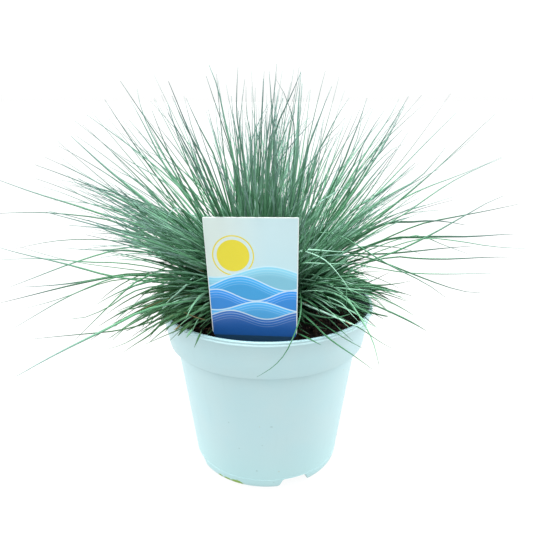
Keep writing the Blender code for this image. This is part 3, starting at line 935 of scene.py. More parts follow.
class Leaves:
    """Collects leaves and makes them one mesh: closed, folded blades along their paths."""

    def __init__(self):
        self.rings = []
        self.looks = []

    def add(self, path, width, rng, tone, dry=0.0, slim_base=0.55, taper_from=0.45, starts_at=0.0):
        """A leaf on a path of points, at its full width from a third of the way along."""
        points = np.array(path)
        along = np.linspace(0.0, 1.0, len(points))
        tangent = np.gradient(points, axis=0)
        tangent /= np.linalg.norm(tangent, axis=1)[:, None]
        chord = points[-1] - points[0]
        flat = np.array((-chord[1], chord[0], 0.0)) + np.array((0.02, 0.0, 0.0))
        side = flat / np.linalg.norm(flat)
        side = side - (tangent @ side)[:, None] * tangent
        side /= np.linalg.norm(side, axis=1)[:, None]
        up = np.cross(side, tangent)
        turn = rng.uniform(-0.9, 0.9) + along * rng.uniform(-1.6, 1.6)
        grown = slim_base + (1 - slim_base) * np.minimum(1.0, along / 0.3)
        taper = 1.0 - 0.82 * np.clip((along - taper_from) / (1.0 - taper_from), 0, 1) ** 1.25
        half = width * grown * taper
        ring = np.empty((len(points), LEAF_SIDES, 3))
        for k, (a, b) in enumerate(LEAF_SECTION):
            across = a * np.cos(turn) - b * np.sin(turn)
            rise = a * np.sin(turn) + b * np.cos(turn)
            ring[:, k] = points + half[:, None] * (across[:, None] * side + rise[:, None] * up)
        self.rings.append(ring)
        self.looks.append((tone, dry, starts_at))

    def mesh(self, name):
        vertices, faces, uvs = [], [], []
        tones, alongs, drys, fold_shade = [], [], [], []
        columns = math.ceil(math.sqrt(len(self.rings) * 5))
        rows = math.ceil(len(self.rings) / columns)
        for number, (ring, (tone, dry, starts_at)) in enumerate(zip(self.rings, self.looks)):
            count = len(ring)
            corners = ring.reshape(-1, 3).tolist()
            faces += [[len(vertices) + k for k in face] for face in tube_faces(LEAF_SIDES, count)]
            left, bottom = number % columns / columns, number // columns / rows
            uvs += leaf_map(left, bottom, 0.92 / columns, 0.96 / rows, count)
            vertices += corners
            tones += [tone] * len(corners)
            drys += [dry] * len(corners)
            # 1 at the fold's bottom corner, where painted shade darkens the leaf.
            fold_shade += ([0.0] * (LEAF_SIDES - 1) + [1.0]) * count
            for i in range(count):
                alongs += [starts_at + (1 - starts_at) * i / (count - 1)] * LEAF_SIDES
        mesh = joined(name, vertices, faces, tone=tones, along=alongs, dry=drys, side=fold_shade)
        mesh.uv_layers.new(name=BAKE_MAP).data.foreach_set("uv", [part for uv in uvs for part in uv])
        mesh.shade_smooth()
        return mesh


@dataclass
class Growth:
    """How a leaf grows from its base: angles in radians, lengths in metres."""

    elevation: float
    azimuth: float
    length: float
    droop: float = 0.0
    turn: float = 0.0
    wave: float = 0.0
    kink: float = 0.0
    kink_at: float = 0.5
    arch_length: float = ARCH_LENGTH


@dataclass
class Shoot:
    """What the leaves of a shoot share; lowness is 1 for one that leans out level."""

    elevation: float
    azimuth: float
    lowness: float
    tone: float
    droop: float
    turn: float
    arches: bool


def meets_label(place):
    across, up, out = LABEL_INVERSE @ place
    return abs(across) < label_half_width(up) + ROOM and up < LABEL_TOP + ROOM and out > -ROOM


def hides_label(place):
    """Whether the camera sees this place in front of the label."""
    across, up, out = LABEL_INVERSE @ place
    if out < 0.0:
        return False
    eye = LABEL_INVERSE @ CAMERA_PLACE
    onward = eye.z / (eye.z - out)
    seen_across = eye.x + (across - eye.x) * onward
    seen_up = eye.y + (up - eye.y) * onward
    return abs(seen_across) < label_half_width(seen_up) and 0.0 < seen_up < LABEL_TOP


def meets_pot(place):
    radius = math.hypot(place.x, place.y)
    if radius < LIP_RADIUS - LIP_DEPTH:
        return place.z < SOIL_LEVEL + ROOM
    return radius < LIP_RADIUS + ROOM and place.z < POT_HEIGHT + LIP_TOP_ROOM


def leaves_box(place):
    low, high = cad_box
    inside = low[0] < place.x < high[0] and low[1] < place.y < high[1]
    return not (inside and LOWEST_LEAF < place.z < high[2])


def first_fault(points, test):
    """How far along the path, 0 to 1, the test first holds; None if it never does."""
    steps = 3
    for i, (a, b) in enumerate(zip(points, points[1:])):
        for k in range(steps):
            if test(a.lerp(b, (k + 1) / steps)):
                return (i + k / steps) / (len(points) - 1)
    return None


def meets(points, test):
    return first_fault(points, test) is not None


def leaf_path(base, growth):
    """A leaf that sets out steep, bends over to its own direction, droops a little and may have a kink."""
    points = [base]
    step = growth.length / LEAF_SEGMENTS
    lift = max(0.0, SHEATH_STEEP - growth.elevation)
    for i in range(LEAF_SEGMENTS):
        share = (i + 0.5) / LEAF_SEGMENTS
        kink = growth.kink if share > growth.kink_at else 0.0
        arch = lift * math.exp(-share * growth.length / growth.arch_length)
        droop = growth.droop * share ** 1.5
        steep = growth.elevation + arch - droop + growth.wave * math.sin(5.0 * share) + kink
        sway = 0.7 * growth.wave * math.sin(4.0 * share + 1.0)
        heading = growth.azimuth + growth.turn * share + sway - kink
        points.append(points[-1] + step * ray(steep, heading))
    return points


def shoot_base(elevation, azimuth):
    """Where a shoot that leans this way stands: the further out, the flatter it leans."""
    outwards = CROWN_RADIUS * (0.90 * (1 - max(0.0, elevation) / math.radians(90)) ** 0.7 + 0.05)
    return Vector((outwards * math.cos(azimuth), outwards * math.sin(azimuth), LEAF_FOOT))


def fitted_path(base, growth, rng):
    """A path clear of the label, the pot and the box's sides that doesn't hide the label, or None."""
    away = math.copysign(1.0, math.sin(growth.azimuth - LABEL_AZIMUTH))
    moves_sideways = rng.random() < SIDEWAYS_SHARE
    for _ in range(FITTING_TRIES):
        points = leaf_path(base, growth)
        is_at_label = meets(points, meets_label)
        out = first_fault(points, leaves_box)
        if is_at_label and moves_sideways:
            growth.azimuth += away * LABEL_STEP
        elif is_at_label:
            growth.elevation += LABEL_STEP
        elif meets(points, meets_pot):
            growth.elevation += POT_STEP
        elif out is not None:
            growth.length *= max(0.8, out - 0.01)
        elif meets(points, hides_label):
            growth.length *= SHORTER
        else:
            return points
    return None


def tuft_centres():
    """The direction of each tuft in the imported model, in the order of its nodes."""
    centres = []
    for ring, (elevation, count) in enumerate(TUFT_RINGS):
        for i in range(count):
            centres.append(ray(math.radians(elevation), 2 * math.pi * (i + 0.5 * (ring % 2)) / count))
    return centres


def leaf_groups():
    """Neighbouring tufts that share a piece: lists of tuft numbers, from 0."""
    groups, start = [], 0
    for _, count in TUFT_RINGS:
        pieces = max(1, round(count / TUFTS_PER_PIECE))
        bounds = [start + k * count // pieces for k in range(pieces + 1)]
        groups += [list(range(low, high)) for low, high in zip(bounds, bounds[1:])]
        start += count
    return groups


def outline_factor(elevation, azimuth):
    """How long the leaves are here, by where they end up in the outline that the camera sees."""
    way = ray(elevation, azimuth)
    up = way.z * math.cos(CAMERA_PITCH) + way.y * math.sin(CAMERA_PITCH)
    angle = (math.degrees(math.atan2(up, way.x)) + 90.0) % 360.0 - 90.0
    return float(np.interp(angle, *zip(*OUTLINE)))


def leaf_length(elevation, azimuth, rng):
    """By the outline, longer for upright leaves; a few reach far, but no low one in front or at a side."""
    upright = share_of(elevation / math.radians(90.0))
    in_front = math.sin(azimuth) < -0.35
    at_side = abs(math.cos(azimuth)) > 0.65
    far_share = 0.02 + 0.18 * min(1.0, 1.8 * upright) ** 1.5
    if (in_front or at_side) and upright < 0.45:
        far_share = 0.0
    if rng.random() < far_share:
        share = rng.uniform(0.74, 1.0)
    else:
        share = (0.30 + 0.46 * upright) * rng.uniform(0.66, 1.32) * outline_factor(elevation, azimuth)
    return min(1.0, share) * (UPRIGHT_REACH + EXTRA_SIDE_REACH * math.cos(elevation) ** 2)


def turned_deg(azimuth):
    """The azimuth in degrees, from -180 to 180."""
    return (math.degrees(azimuth) + 180.0) % 360.0 - 180.0


def is_open(elevation, azimuth):
    low, high = OPEN_AZIMUTHS_DEG
    return low < turned_deg(azimuth) < high and elevation < math.radians(OPEN_BELOW_DEG)


def arch_length(elevation):
    """The lowest leaves bend over soonest."""
    share = share_of((math.degrees(elevation) - LOWEST_SHOOT_DEG) / 46.0)
    return LOW_ARCH_LENGTH + (ARCH_LENGTH - LOW_ARCH_LENGTH) * share


def side_leaf(path, rng):
    """A short leaf that parts from another on its way, or None where it would hit something."""
    start = rng.randint(4, LEAF_SEGMENTS - 5)
    tangent = (path[start + 1] - path[start]).normalized()
    lean = tangent.cross(Vector((rng.gauss(0, 1), rng.gauss(0, 1), rng.gauss(0, 1)))).normalized()
    way = (tangent + rng.uniform(0.10, 0.32) * lean).normalized()
    step = rng.uniform(0.014, 0.042) / SIDE_SEGMENTS
    curl = rng.uniform(-0.03, 0.03)
    points = [path[start].copy()]
    for k in range(SIDE_SEGMENTS):
        points.append(points[-1] + step * (way + curl * k * lean).normalized())
    return None if any(meets(points, test) for test in (meets_label, meets_pot, leaves_box)) else points


def new_shoot(elevation, azimuth, rng):
    lowness = share_of(1.0 - elevation / math.radians(LOW_UNDER_DEG))
    tone = rng.uniform(0.22, 0.96)
    droop = abs(rng.gauss(0.12, 0.12)) + lowness * rng.uniform(0.0, 0.3)
    arches = is_open(elevation, azimuth)
    if arches:
        elevation = math.radians(rng.uniform(-20.0, 14.0))
        # Painted shade: the shoots that arch over beside the label are darker.
        tone *= 0.6
    return Shoot(elevation, azimuth, lowness, tone, droop, rng.gauss(0, 0.12), arches)


def shoot_leaf(shoot, rng):
    """How a leaf of the shoot grows: low ones scatter more, and a few droop far."""
    flatness = max(0.3, math.cos(shoot.elevation))
    growth = Growth(
        arch_length=arch_length(shoot.elevation) * rng.uniform(0.8, 1.2),
        elevation=shoot.elevation + rng.gauss(0, 0.13 + 0.05 * shoot.lowness),
        azimuth=shoot.azimuth + rng.gauss(0, 0.14 + 0.09 * shoot.lowness) / flatness,
        length=rng.uniform(*ARCHING_LEAF_LENGTH),
        droop=shoot.droop + rng.gauss(0, 0.12),
        turn=(shoot.turn + rng.gauss(0, 0.23)) / flatness,
        wave=rng.gauss(0, 0.055),
        kink=rng.gauss(0, 0.10) if rng.random() < 0.5 else 0.0,
        kink_at=rng.uniform(0.3, 0.85),
    )
    if not shoot.arches:
        steep = growth.elevation - 0.4 * growth.droop
        growth.length = leaf_length(steep, growth.azimuth + 0.5 * growth.turn, rng)
    if rng.random() < DROOPING_SHARE:
        growth.droop += rng.uniform(0.4, 0.9)
    return growth


def leaf_tone(shoot, length, rng):
    """Low leaves, and those on the left, are often dark as painted shade; long ones keep near one tone."""
    tone = min(0.95, max(0.0, shoot.tone + rng.gauss(0, 0.27)))
    # Painted shade: low leaves, and those on the left, are often made dark.
    if rng.random() < 0.45 * shoot.lowness + 0.16 * max(0.0, -math.cos(shoot.azimuth)):
        tone *= 0.2
    if length > LONG_LEAF:
        tone = LONG_LEAF_TONE + 0.35 * (tone - LONG_LEAF_TONE)
    return tone


def scatter(size, rng):
    return Vector((rng.gauss(0, size), rng.gauss(0, size), 0.0))


def grow_shoot(bundle, elevation, azimuth, rng):
    """A shoot, whose leaves stand together at first and part towards their tips."""
    base = shoot_base(elevation, azimuth) + scatter(SHOOT_SCATTER, rng)
    shoot = new_shoot(elevation, azimuth, rng)
    for _ in range(rng.randint(*LEAVES_PER_SHOOT)):
        growth = shoot_leaf(shoot, rng)
        path = fitted_path(base + scatter(LEAF_SCATTER, rng), growth, rng)
        if path is None:
            continue
        tone = leaf_tone(shoot, growth.length, rng)
        width = rng.uniform(*LEAF_WIDTH) * (1.0 + 0.25 * shoot.lowness)
        is_dry = shoot.elevation < math.radians(DRY_UNDER_DEG) and rng.random() < DRY_SHARE
        taper_from = 0.45 + 0.4 * shoot.lowness * rng.random()
        bundle.add(path, width, rng, tone, 0.6 if is_dry else 0.0, taper_from=taper_from)
        side = side_leaf(path, rng) if rng.random() < SIDE_LEAF_SHARE else None
        if side is not None:
            bundle.add(side, 0.85 * width, rng, min(1.0, tone + 0.1), slim_base=1.0, starts_at=0.45)


def grow_inner_leaves(bundle_towards, rng):
    """Short leaves that fill the clump's heart, their dark tone painted shade."""
    for _ in range(INNER_LEAVES):
        growth = Growth(
            elevation=math.radians(rng.uniform(-4.0, 62.0)),
            azimuth=rng.uniform(0.0, 2 * math.pi),
            length=rng.uniform(0.030, 0.070),
            droop=rng.gauss(0.15, 0.2),
            turn=rng.gauss(0, 0.4),
            wave=rng.gauss(0, 0.05),
            arch_length=rng.uniform(0.008, 0.040),
        )
        base = shoot_base(growth.elevation, growth.azimuth) * rng.uniform(0.6, 1.25)
        base.z = INNER_LEAF_FOOT
        path = fitted_path(base, growth, rng)
        if path is not None:
            # A dark tone, as painted shade inside the clump.
            tone = rng.uniform(0.0, 0.22)
            bundle_towards(path[-1]).add(path[::2], rng.uniform(0.0010, 0.0018), rng, tone)


def grow_shoots(bundle_towards, rng):
    """Shoots in every direction over the lowest, evenly spread but for the open soil beside the label."""
    golden = math.pi * (3 - math.sqrt(5))
    lowest = math.sin(math.radians(LOWEST_SHOOT_DEG))
    for i in range(SHOOTS):
        rise = lowest + (1 - lowest) * ((i + 0.5) / SHOOTS) ** 0.86
        elevation = min(math.asin(rise) + rng.gauss(0, 0.07), math.radians(89.0))
        azimuth = golden * i + rng.gauss(0, 0.12)
        kept = OPEN_KEPT if turned_deg(azimuth) > KEPT_FROM_DEG else OPEN_KEPT_AT_LABEL
        if is_open(elevation, azimuth) and rng.random() > kept:
            continue
        towards = CLUMP_HEIGHT * UP + ray(elevation, azimuth)
        grow_shoot(bundle_towards(towards), elevation, azimuth, rng)


# Leaves placed one by one --------------------

# Leaves that stand clear of the clump, as the photograph shows them. Each has the y of its tip and its width
# in millimetres, its tone, and places along it from its tip inwards, in the photograph's pixels.
CLEAR_LEAVES = (
    # Left.
    (20, 1.6, 0.35, (-9, 177), (23, 189), (51, 198), (82, 207), (115, 219), (147, 227)),
    (-30, 1.4, 0.4, (-10, 214), (25, 212), (57, 213), (89, 217), (121, 222)),
    (-20, 2.1, 0.5, (71, 136), (84, 148), (105, 167), (122, 181), (143, 198), (159, 212)),
    (40, 1.0, 0.45, (56, 153), (71, 166), (89, 177), (111, 191), (134, 205)),
    (20, 1.3, 0.5, (65, 173), (79, 185), (87, 189), (108, 196), (128, 208)),
    (50, 1.3, 0.45, (54, 177), (65, 188), (82, 195), (102, 205), (128, 213)),
    (-30, 1.3, 0.5, (43, 187), (61, 192), (82, 201), (102, 208), (130, 217)),
    (-40, 1.5, 0.62, (111, 149), (120, 156), (138, 166), (149, 172), (164, 181), (176, 196)),
    (30, 1.1, 0.4, (123, 121), (140, 144), (153, 159), (168, 172)),
    (20, 1.4, 0.42, (129, 120), (138, 130), (150, 145), (166, 167), (179, 184)),
    (0, 1.5, 0.5, (131, 101), (147, 130), (158, 153), (170, 175), (185, 194)),
    (40, 1.3, 0.45, (137, 89), (141, 110), (152, 135), (170, 167)),
    (30, 1.1, 0.45, (119, 168), (128, 176), (140, 184), (157, 200)),
    (-10, 1.2, 0.5, (110, 167), (121, 173), (134, 178), (144, 185), (161, 202)),
    (40, 0.9, 0.4, (14, 249), (45, 242), (76, 239), (108, 240), (134, 243)),
    (60, 1.3, 0.35, (64, 248), (89, 250), (108, 250), (128, 248), (147, 245)),
    (0, 1.0, 0.4, (10, 243), (36, 252), (61, 259), (92, 265), (120, 268)),
    (-50, 1.5, 0.4, (-6, 246), (25, 255), (51, 260), (89, 270), (125, 280)),
    (10, 1.1, 0.4, (-4, 260), (36, 258), (66, 260), (94, 263), (125, 262)),
    (30, 1.3, 0.42, (7, 288), (36, 277), (66, 265), (98, 255), (134, 247)),
    (-20, 1.4, 0.45, (0, 303), (36, 294), (71, 285), (107, 278), (139, 274)),
    (-40, 1.2, 0.4, (14, 328), (41, 312), (68, 296), (100, 283), (132, 272)),
    (50, 0.9, 0.4, (0, 314), (36, 306), (66, 297), (86, 289), (125, 276)),
    (-10, 1.5, 0.2, (23, 287), (62, 285), (107, 278), (139, 272)),
    (-60, 1.3, 0.45, (56, 319), (82, 319), (98, 312), (116, 304), (143, 284)),
    (-50, 1.3, 0.45, (75, 340), (98, 317), (116, 299), (136, 281), (161, 271)),
    (-90, 1.2, 0.35, (32, 339), (82, 334), (117, 331), (146, 324)),
    (-188, 1.7, 0.45, (17, 376), (50, 357), (90, 337), (125, 320), (152, 306)),
    # Top.
    (-10, 2.5, 0.5, (209, 65), (217, 84), (222, 106), (227, 133), (235, 161)),
    (0, 1.4, 0.45, (218, 80), (220, 94), (225, 121), (232, 150)),
    (-20, 1.3, 0.3, (238, 67), (236, 105), (238, 126), (242, 149), (245, 173)),
    (10, 1.0, 0.45, (226, 84), (233, 121), (240, 142)),
    (20, 1.0, 0.45, (246, 86), (246, 114), (250, 130), (252, 150)),
    (-10, 1.5, 0.45, (269, 71), (271, 94), (272, 121), (275, 142), (273, 161)),
    (0, 1.1, 0.4, (276, 79), (286, 96), (292, 116), (296, 138)),
    (-20, 1.6, 0.35, (301, 72), (289, 100), (278, 123), (272, 145)),
    (-30, 2.4, 0.5, (301, 73), (299, 96), (298, 121), (298, 138), (298, 161)),
    (-30, 0.9, 0.45, (294, 68), (291, 87), (288, 102), (284, 118)),
    (-20, 1.3, 0.4, (271, 100), (265, 108), (256, 130), (248, 152)),
    (-30, 1.3, 0.45, (266, 102), (266, 126), (267, 142)),
    (20, 1.0, 0.3, (275, 88), (275, 114), (275, 138)),
    (-40, 1.6, 0.02, (315, 118), (300, 135), (288, 148), (281, 159), (275, 168)),
    (-20, 1.5, 0.45, (332, 86), (322, 110), (314, 135), (307, 147)),
    (10, 1.3, 0.45, (349, 98), (333, 122), (327, 138), (312, 161)),
    (20, 1.0, 0.45, (345, 118), (330, 135), (316, 152)),
    (-20, 1.4, 0.42, (172, 96), (183, 121), (193, 142), (210, 166)),
    (20, 1.2, 0.45, (168, 103), (173, 121), (179, 138), (189, 155)),
    (0, 1.5, 0.5, (186, 98), (199, 127), (209, 145), (217, 161)),
    (20, 1.2, 0.42, (208, 108), (212, 126), (219, 149)),
    (40, 1.0, 0.45, (184, 96), (190, 121), (196, 140)),
    # Right.
    (-20, 1.5, 0.5, (502, 157), (468, 172), (438, 183), (422, 189), (406, 197), (389, 207)),
    (0, 1.2, 0.5, (502, 158), (462, 175), (428, 197), (411, 210), (396, 219)),
    (-30, 1.4, 0.48, (445, 148), (423, 176), (406, 186), (391, 194), (373, 205)),
    (-30, 1.5, 0.35, (404, 107), (393, 128), (381, 151), (367, 170), (359, 186)),
    (30, 1.4, 0.45, (399, 99), (389, 119), (380, 131), (373, 141), (364, 156), (351, 177)),
    (40, 0.9, 0.45, (406, 105), (389, 118), (377, 136)),
    (10, 1.3, 0.42, (384, 111), (372, 128), (363, 144), (355, 162), (348, 176)),
    (0, 1.4, 0.45, (367, 98), (359, 123), (353, 137), (346, 156), (340, 171)),
    (30, 1.1, 0.5, (363, 111), (358, 137), (349, 160)),
    (-20, 1.3, 0.4, (402, 130), (385, 147), (377, 157), (360, 172), (349, 190)),
    (30, 1.0, 0.45, (404, 144), (391, 149), (379, 161), (367, 173)),
    (0, 1.6, 0.38, (397, 149), (389, 156), (377, 171), (364, 186), (354, 201)),
    (50, 1.0, 0.5, (401, 156), (385, 169), (372, 180)),
    (-30, 1.6, 0.62, (415, 163), (398, 178), (385, 190), (369, 201), (348, 212)),
    (0, 1.2, 0.5, (413, 169), (402, 178), (386, 189)),
    (40, 1.0, 0.5, (389, 178), (375, 183), (360, 197)),
    (30, 1.1, 0.4, (461, 194), (444, 200), (413, 209), (393, 215), (377, 221)),
    (50, 0.9, 0.4, (447, 209), (423, 212), (396, 215)),
    (-50, 1.3, 0.35, (503, 196), (484, 204), (468, 214), (451, 223), (431, 235), (409, 245), (397, 252)),
    (30, 1.3, 0.42, (519, 204), (486, 211), (464, 215), (444, 219), (423, 223), (402, 231)),
    (10, 1.8, 0.42, (465, 225), (450, 222), (431, 220), (416, 222), (396, 222), (377, 225)),
    (0, 1.8, 0.4, (514, 234), (493, 235), (466, 237), (438, 236), (406, 238), (383, 238)),
    (50, 1.2, 0.45, (537, 249), (512, 248), (486, 246), (461, 241), (436, 239), (416, 238)),
    (-20, 1.3, 0.45, (473, 246), (444, 248), (417, 251), (383, 254), (361, 254), (346, 252), (328, 251)),
    (40, 0.9, 0.45, (474, 256), (449, 247), (428, 239), (410, 233)),
    (-30, 1.3, 0.45, (514, 257), (486, 257), (455, 259), (431, 259), (406, 258), (388, 256)),
    (-60, 1.4, 0.45, (496, 273), (461, 274), (423, 274), (399, 272), (383, 269), (361, 265), (346, 263),
     (328, 263)),
    (-60, 1.2, 0.48, (483, 293), (464, 292), (442, 285), (423, 278), (403, 270), (383, 262), (362, 256),
     (340, 254)),
    (-70, 1.3, 0.55, (445, 297), (432, 287), (418, 279), (403, 272), (389, 265), (374, 256), (359, 246),
     (345, 238), (333, 233), (322, 232), (311, 237)),
    (20, 1.0, 0.45, (411, 242), (401, 240), (388, 238)),
    (-50, 1.0, 0.4, (408, 301), (396, 295), (383, 290), (373, 286)),
    (-40, 1.3, 0.3, (411, 281), (401, 283), (385, 285), (373, 285)),
    (-60, 0.9, 0.4, (391, 314), (383, 306), (377, 300), (368, 292)),
    (-60, 1.9, 0.4, (388, 316), (377, 314), (367, 311), (354, 306)),
)
# Leaves that are told apart inside the clump. Each has the y of its first and last place and its width in
# millimetres, its tone, and places along it in the photograph's pixels.
DRAWN_LEAVES = (
    # To the right of the label, over the soil and the rim.
    (-52, -84, 2.0, 1.0, (299, 302), (314, 308), (333, 316), (351, 324), (364, 328), (373, 330)),
    (-60, -106, 1.2, 0.24, (302, 312), (315, 325), (327, 337), (341, 347), (356, 357), (372, 369)),
    (-50, -93, 1.3, 0.3, (313, 317), (326, 326), (336, 333), (351, 342), (362, 348)),
    (-50, -90, 1.2, 0.35, (326, 316), (335, 325), (344, 333), (353, 341)),
    (-40, -88, 1.4, 0.65, (303, 294), (322, 305), (338, 318), (353, 331)),
    (-52, -74, 1.2, 0.88, (299, 251), (306, 252), (313, 254), (326, 260), (336, 271), (345, 283),
     (354, 295)),
    (-30, -90, 1.6, 0.56, (314, 273), (326, 282), (337, 289), (348, 299), (356, 311), (362, 320),
     (368, 331), (374, 343), (379, 365)),
    (-40, -60, 1.5, 0.8, (307, 279), (323, 284), (338, 289), (345, 292)),
    (-50, -64, 1.4, 0.9, (315, 296), (326, 303), (332, 308), (336, 307)),
    (-62, -80, 1.5, 0.8, (338, 300), (346, 308), (352, 315), (359, 322)),
    (-60, -78, 1.3, 0.75, (354, 311), (363, 320), (370, 324), (378, 328)),
    (-72, -90, 0.9, 0.5, (353, 324), (366, 332), (377, 340), (391, 348)),
    (-40, -62, 2.1, 0.15, (344, 305), (358, 311), (371, 313), (380, 315), (388, 317)),
    (-40, -62, 1.6, 0.1, (350, 304), (373, 313), (385, 320)),
    (-50, -70, 1.2, 0.5, (299, 309), (314, 315), (327, 318), (340, 317), (350, 314)),
    (-80, -100, 1.2, 0.2, (297, 333), (308, 338), (321, 345)),
    (-60, -66, 1.2, 0.6, (344, 279), (346, 289), (347, 299), (346, 306)),
    (-20, -30, 2.0, 0.35, (340, 272), (352, 277), (362, 280), (372, 285), (388, 288)),
    (-20, -30, 1.1, 0.15, (352, 281), (371, 286), (388, 285), (402, 283)),
    (-20, -10, 1.0, 0.15, (356, 286), (369, 282), (378, 278), (390, 272)),
    (-10, -30, 1.1, 0.2, (352, 279), (373, 287), (388, 293), (402, 297)),
    (-10, -30, 1.0, 0.2, (366, 296), (377, 301), (384, 308), (390, 314)),
    (-30, -40, 1.7, 0.5, (348, 294), (358, 297), (367, 299), (374, 303)),
    (-40, -50, 1.6, 0.46, (345, 299), (356, 303), (365, 305), (372, 309)),
    (-46, -58, 1.8, 0.42, (349, 303), (358, 308), (366, 311), (373, 316)),
    (-46, -58, 1.6, 0.6, (334, 293), (344, 297), (353, 302), (360, 308)),
    (-50, -64, 1.5, 0.62, (322, 290), (334, 293), (345, 299), (354, 307)),
    (-50, -62, 1.5, 0.7, (312, 285), (326, 288), (338, 292), (347, 298)),
    (-52, -66, 1.4, 0.55, (311, 294), (322, 299), (332, 305), (340, 313)),
    # To the left of the label.
    (-30, -62, 1.9, 0.97, (198, 273), (190, 282), (178, 293), (168, 301), (162, 309)),
    (-20, -40, 1.9, 0.93, (206, 281), (188, 280), (177, 281), (168, 283), (160, 285)),
    (-50, -66, 1.9, 0.97, (206, 297), (194, 297), (184, 299), (176, 301), (168, 305), (162, 309)),
    (-60, -84, 1.7, 0.72, (207, 303), (200, 309), (193, 315), (187, 319), (181, 324), (176, 329)),
    (-86, -98, 1.4, 0.15, (202, 330), (197, 341), (194, 348)),
    (-84, -93, 1.5, 0.55, (193, 328), (186, 338)),
    (-76, -90, 2.0, 0.1, (194, 320), (183, 330), (178, 336)),
    (-60, -80, 1.9, 0.25, (168, 318), (158, 327), (152, 333), (144, 339), (135, 344), (124, 352)),
    (-50, -70, 1.1, 0.25, (172, 312), (157, 320), (144, 328), (130, 338)),
    (-50, -70, 2.3, 0.3, (172, 306), (162, 312), (154, 317), (146, 321), (139, 325), (126, 331)),
    (-30, -40, 0.9, 0.2, (152, 288), (144, 295), (137, 301), (130, 309)),
    (-70, -88, 1.8, 0.35, (196, 312), (180, 320), (166, 328), (150, 342)),
    (-60, -76, 1.6, 0.5, (188, 306), (170, 317), (150, 327), (128, 343), (108, 349)),
    # Over the body.
    (-52, -50, 1.4, 0.85, (299, 250), (314, 250), (329, 251), (347, 252)),
    (-52, -52, 1.3, 0.8, (299, 263), (314, 263), (330, 264), (346, 263)),
    (-30, -20, 1.4, 0.9, (313, 247), (320, 238), (328, 228), (338, 217)),
    (-30, -30, 1.2, 0.85, (332, 250), (338, 247), (344, 243), (350, 239)),
    (-50, -45, 1.9, 1.0, (258, 216), (256, 208), (255, 200), (257, 192), (258, 184)),
    (-60, -60, 1.0, 0.95, (181, 206), (172, 211), (166, 219), (160, 233)),
    (-50, -60, 1.4, 0.95, (200, 268), (179, 258), (159, 247)),
    (-50, -50, 1.4, 0.8, (200, 258), (166, 257), (140, 256)),
    (-50, -50, 1.4, 0.85, (200, 245), (176, 237), (153, 231)),
    (-20, -10, 1.8, 1.0, (310, 210), (322, 201), (334, 193), (346, 185)),
)

# Dry leaf ends: places along each, as the photograph's pixels and the y there in millimetres.
DRY_END_WIDTH = 0.0008
DRY_ENDS = (
    ((206, 320, -72), (198, 318, -76), (192, 316, -79), (184, 312, -81)),
    ((174, 315, -70), (170, 317, -74), (166, 321, -78)),
    ((180, 325, -82), (177, 328, -85), (174, 330, -87)),
    ((307, 302, -50), (304, 303, -52), (301, 303, -54)),
    ((345, 321, -74), (348, 323, -78), (351, 325, -81)),
)

# One leaf hangs down beside the label and over the front of the lip: places along it, as for the dry ends.
HANGING_LEAF_WIDTH = 0.0010
HANGING_LEAF_TONE = 0.26
HANGING_LEAF = (
    (299, 283, -40), (301, 299, -66), (301, 311, -77), (299, 321, -83.5), (295, 333, -90),
    (292, 340, -93), (285, 354, -94.5), (273, 367, -93.5), (257, 377, -90.5),
)


def clear_path(places, tip_y):
    """From the clump's crown through the places to the tip, as the camera sees them."""
    tip = at_pixel(*places[0], tip_y)
    azimuth = math.atan2(tip.y, tip.x)
    base = Vector((ROOT_RADIUS * math.cos(azimuth), ROOT_RADIUS * math.sin(azimuth), LEAF_FOOT))
    whole = math.dist(places[0], CROWN_PIXEL)
    spots = []
    for pixel in places:
        inwards = math.dist(places[0], pixel) / whole
        spots.append(at_pixel(*pixel, tip_y + (base.y - tip_y) * inwards))
    raised = base.lerp(spots[-1], 0.3) + ROOT_RISE * UP
    return through([base, raised, *reversed(spots)])


def between(before, start, end, after, t):
    """A point on the smooth curve from start (t = 0) to end (t = 1)."""
    return 0.5 * (
        2 * start
        + (end - before) * t
        + (2 * before - 5 * start + 4 * end - after) * t ** 2
        + (3 * start - before - 3 * end + after) * t ** 3
    )


def through(places, passes=SMOOTHINGS):
    """Evenly spaced points on a smooth curve near the places, as far as it keeps inside the model's box."""
    spots = [2 * places[0] - places[1], *places, 2 * places[-1] - places[-2]]
    fine = []
    for k in range(len(places) - 1):
        fine += [between(*spots[k:k + 4], i / FINE_STEPS) for i in range(FINE_STEPS)]
    fine.append(places[-1])
    for _ in range(passes):
        inner = [(a + 2 * b + c) / 4 for a, b, c in zip(fine, fine[1:], fine[2:])]
        fine = [fine[0], *inner, fine[-1]]
    outside = [i for i, spot in enumerate(fine) if leaves_box(spot)]
    line = np.array(fine[:outside[0]] if outside else fine)
    run = np.concatenate(([0.0], np.cumsum(np.linalg.norm(np.diff(line, axis=0), axis=1))))
    wanted = np.linspace(0.0, run[-1], LEAF_SEGMENTS + 1)
    return [Vector(spot) for spot in zip(*(np.interp(wanted, run, line[:, axis]) for axis in range(3)))]


def at_pixels(places):
    return [at_pixel(across, down, y_mm / 1000.0) for across, down, y_mm in places]


def drawn_path(places, first_y, last_y):
    """From the clump's heart through the places, or through them alone where that would meet the label."""
    step = (last_y - first_y) / (len(places) - 1)
    spots = [at_pixel(*pixel, first_y + step * k) for k, pixel in enumerate(places)]
    path = through([spots[0].lerp(HEART, 0.5), *spots])
    return through(spots) if meets(path, meets_label) else path


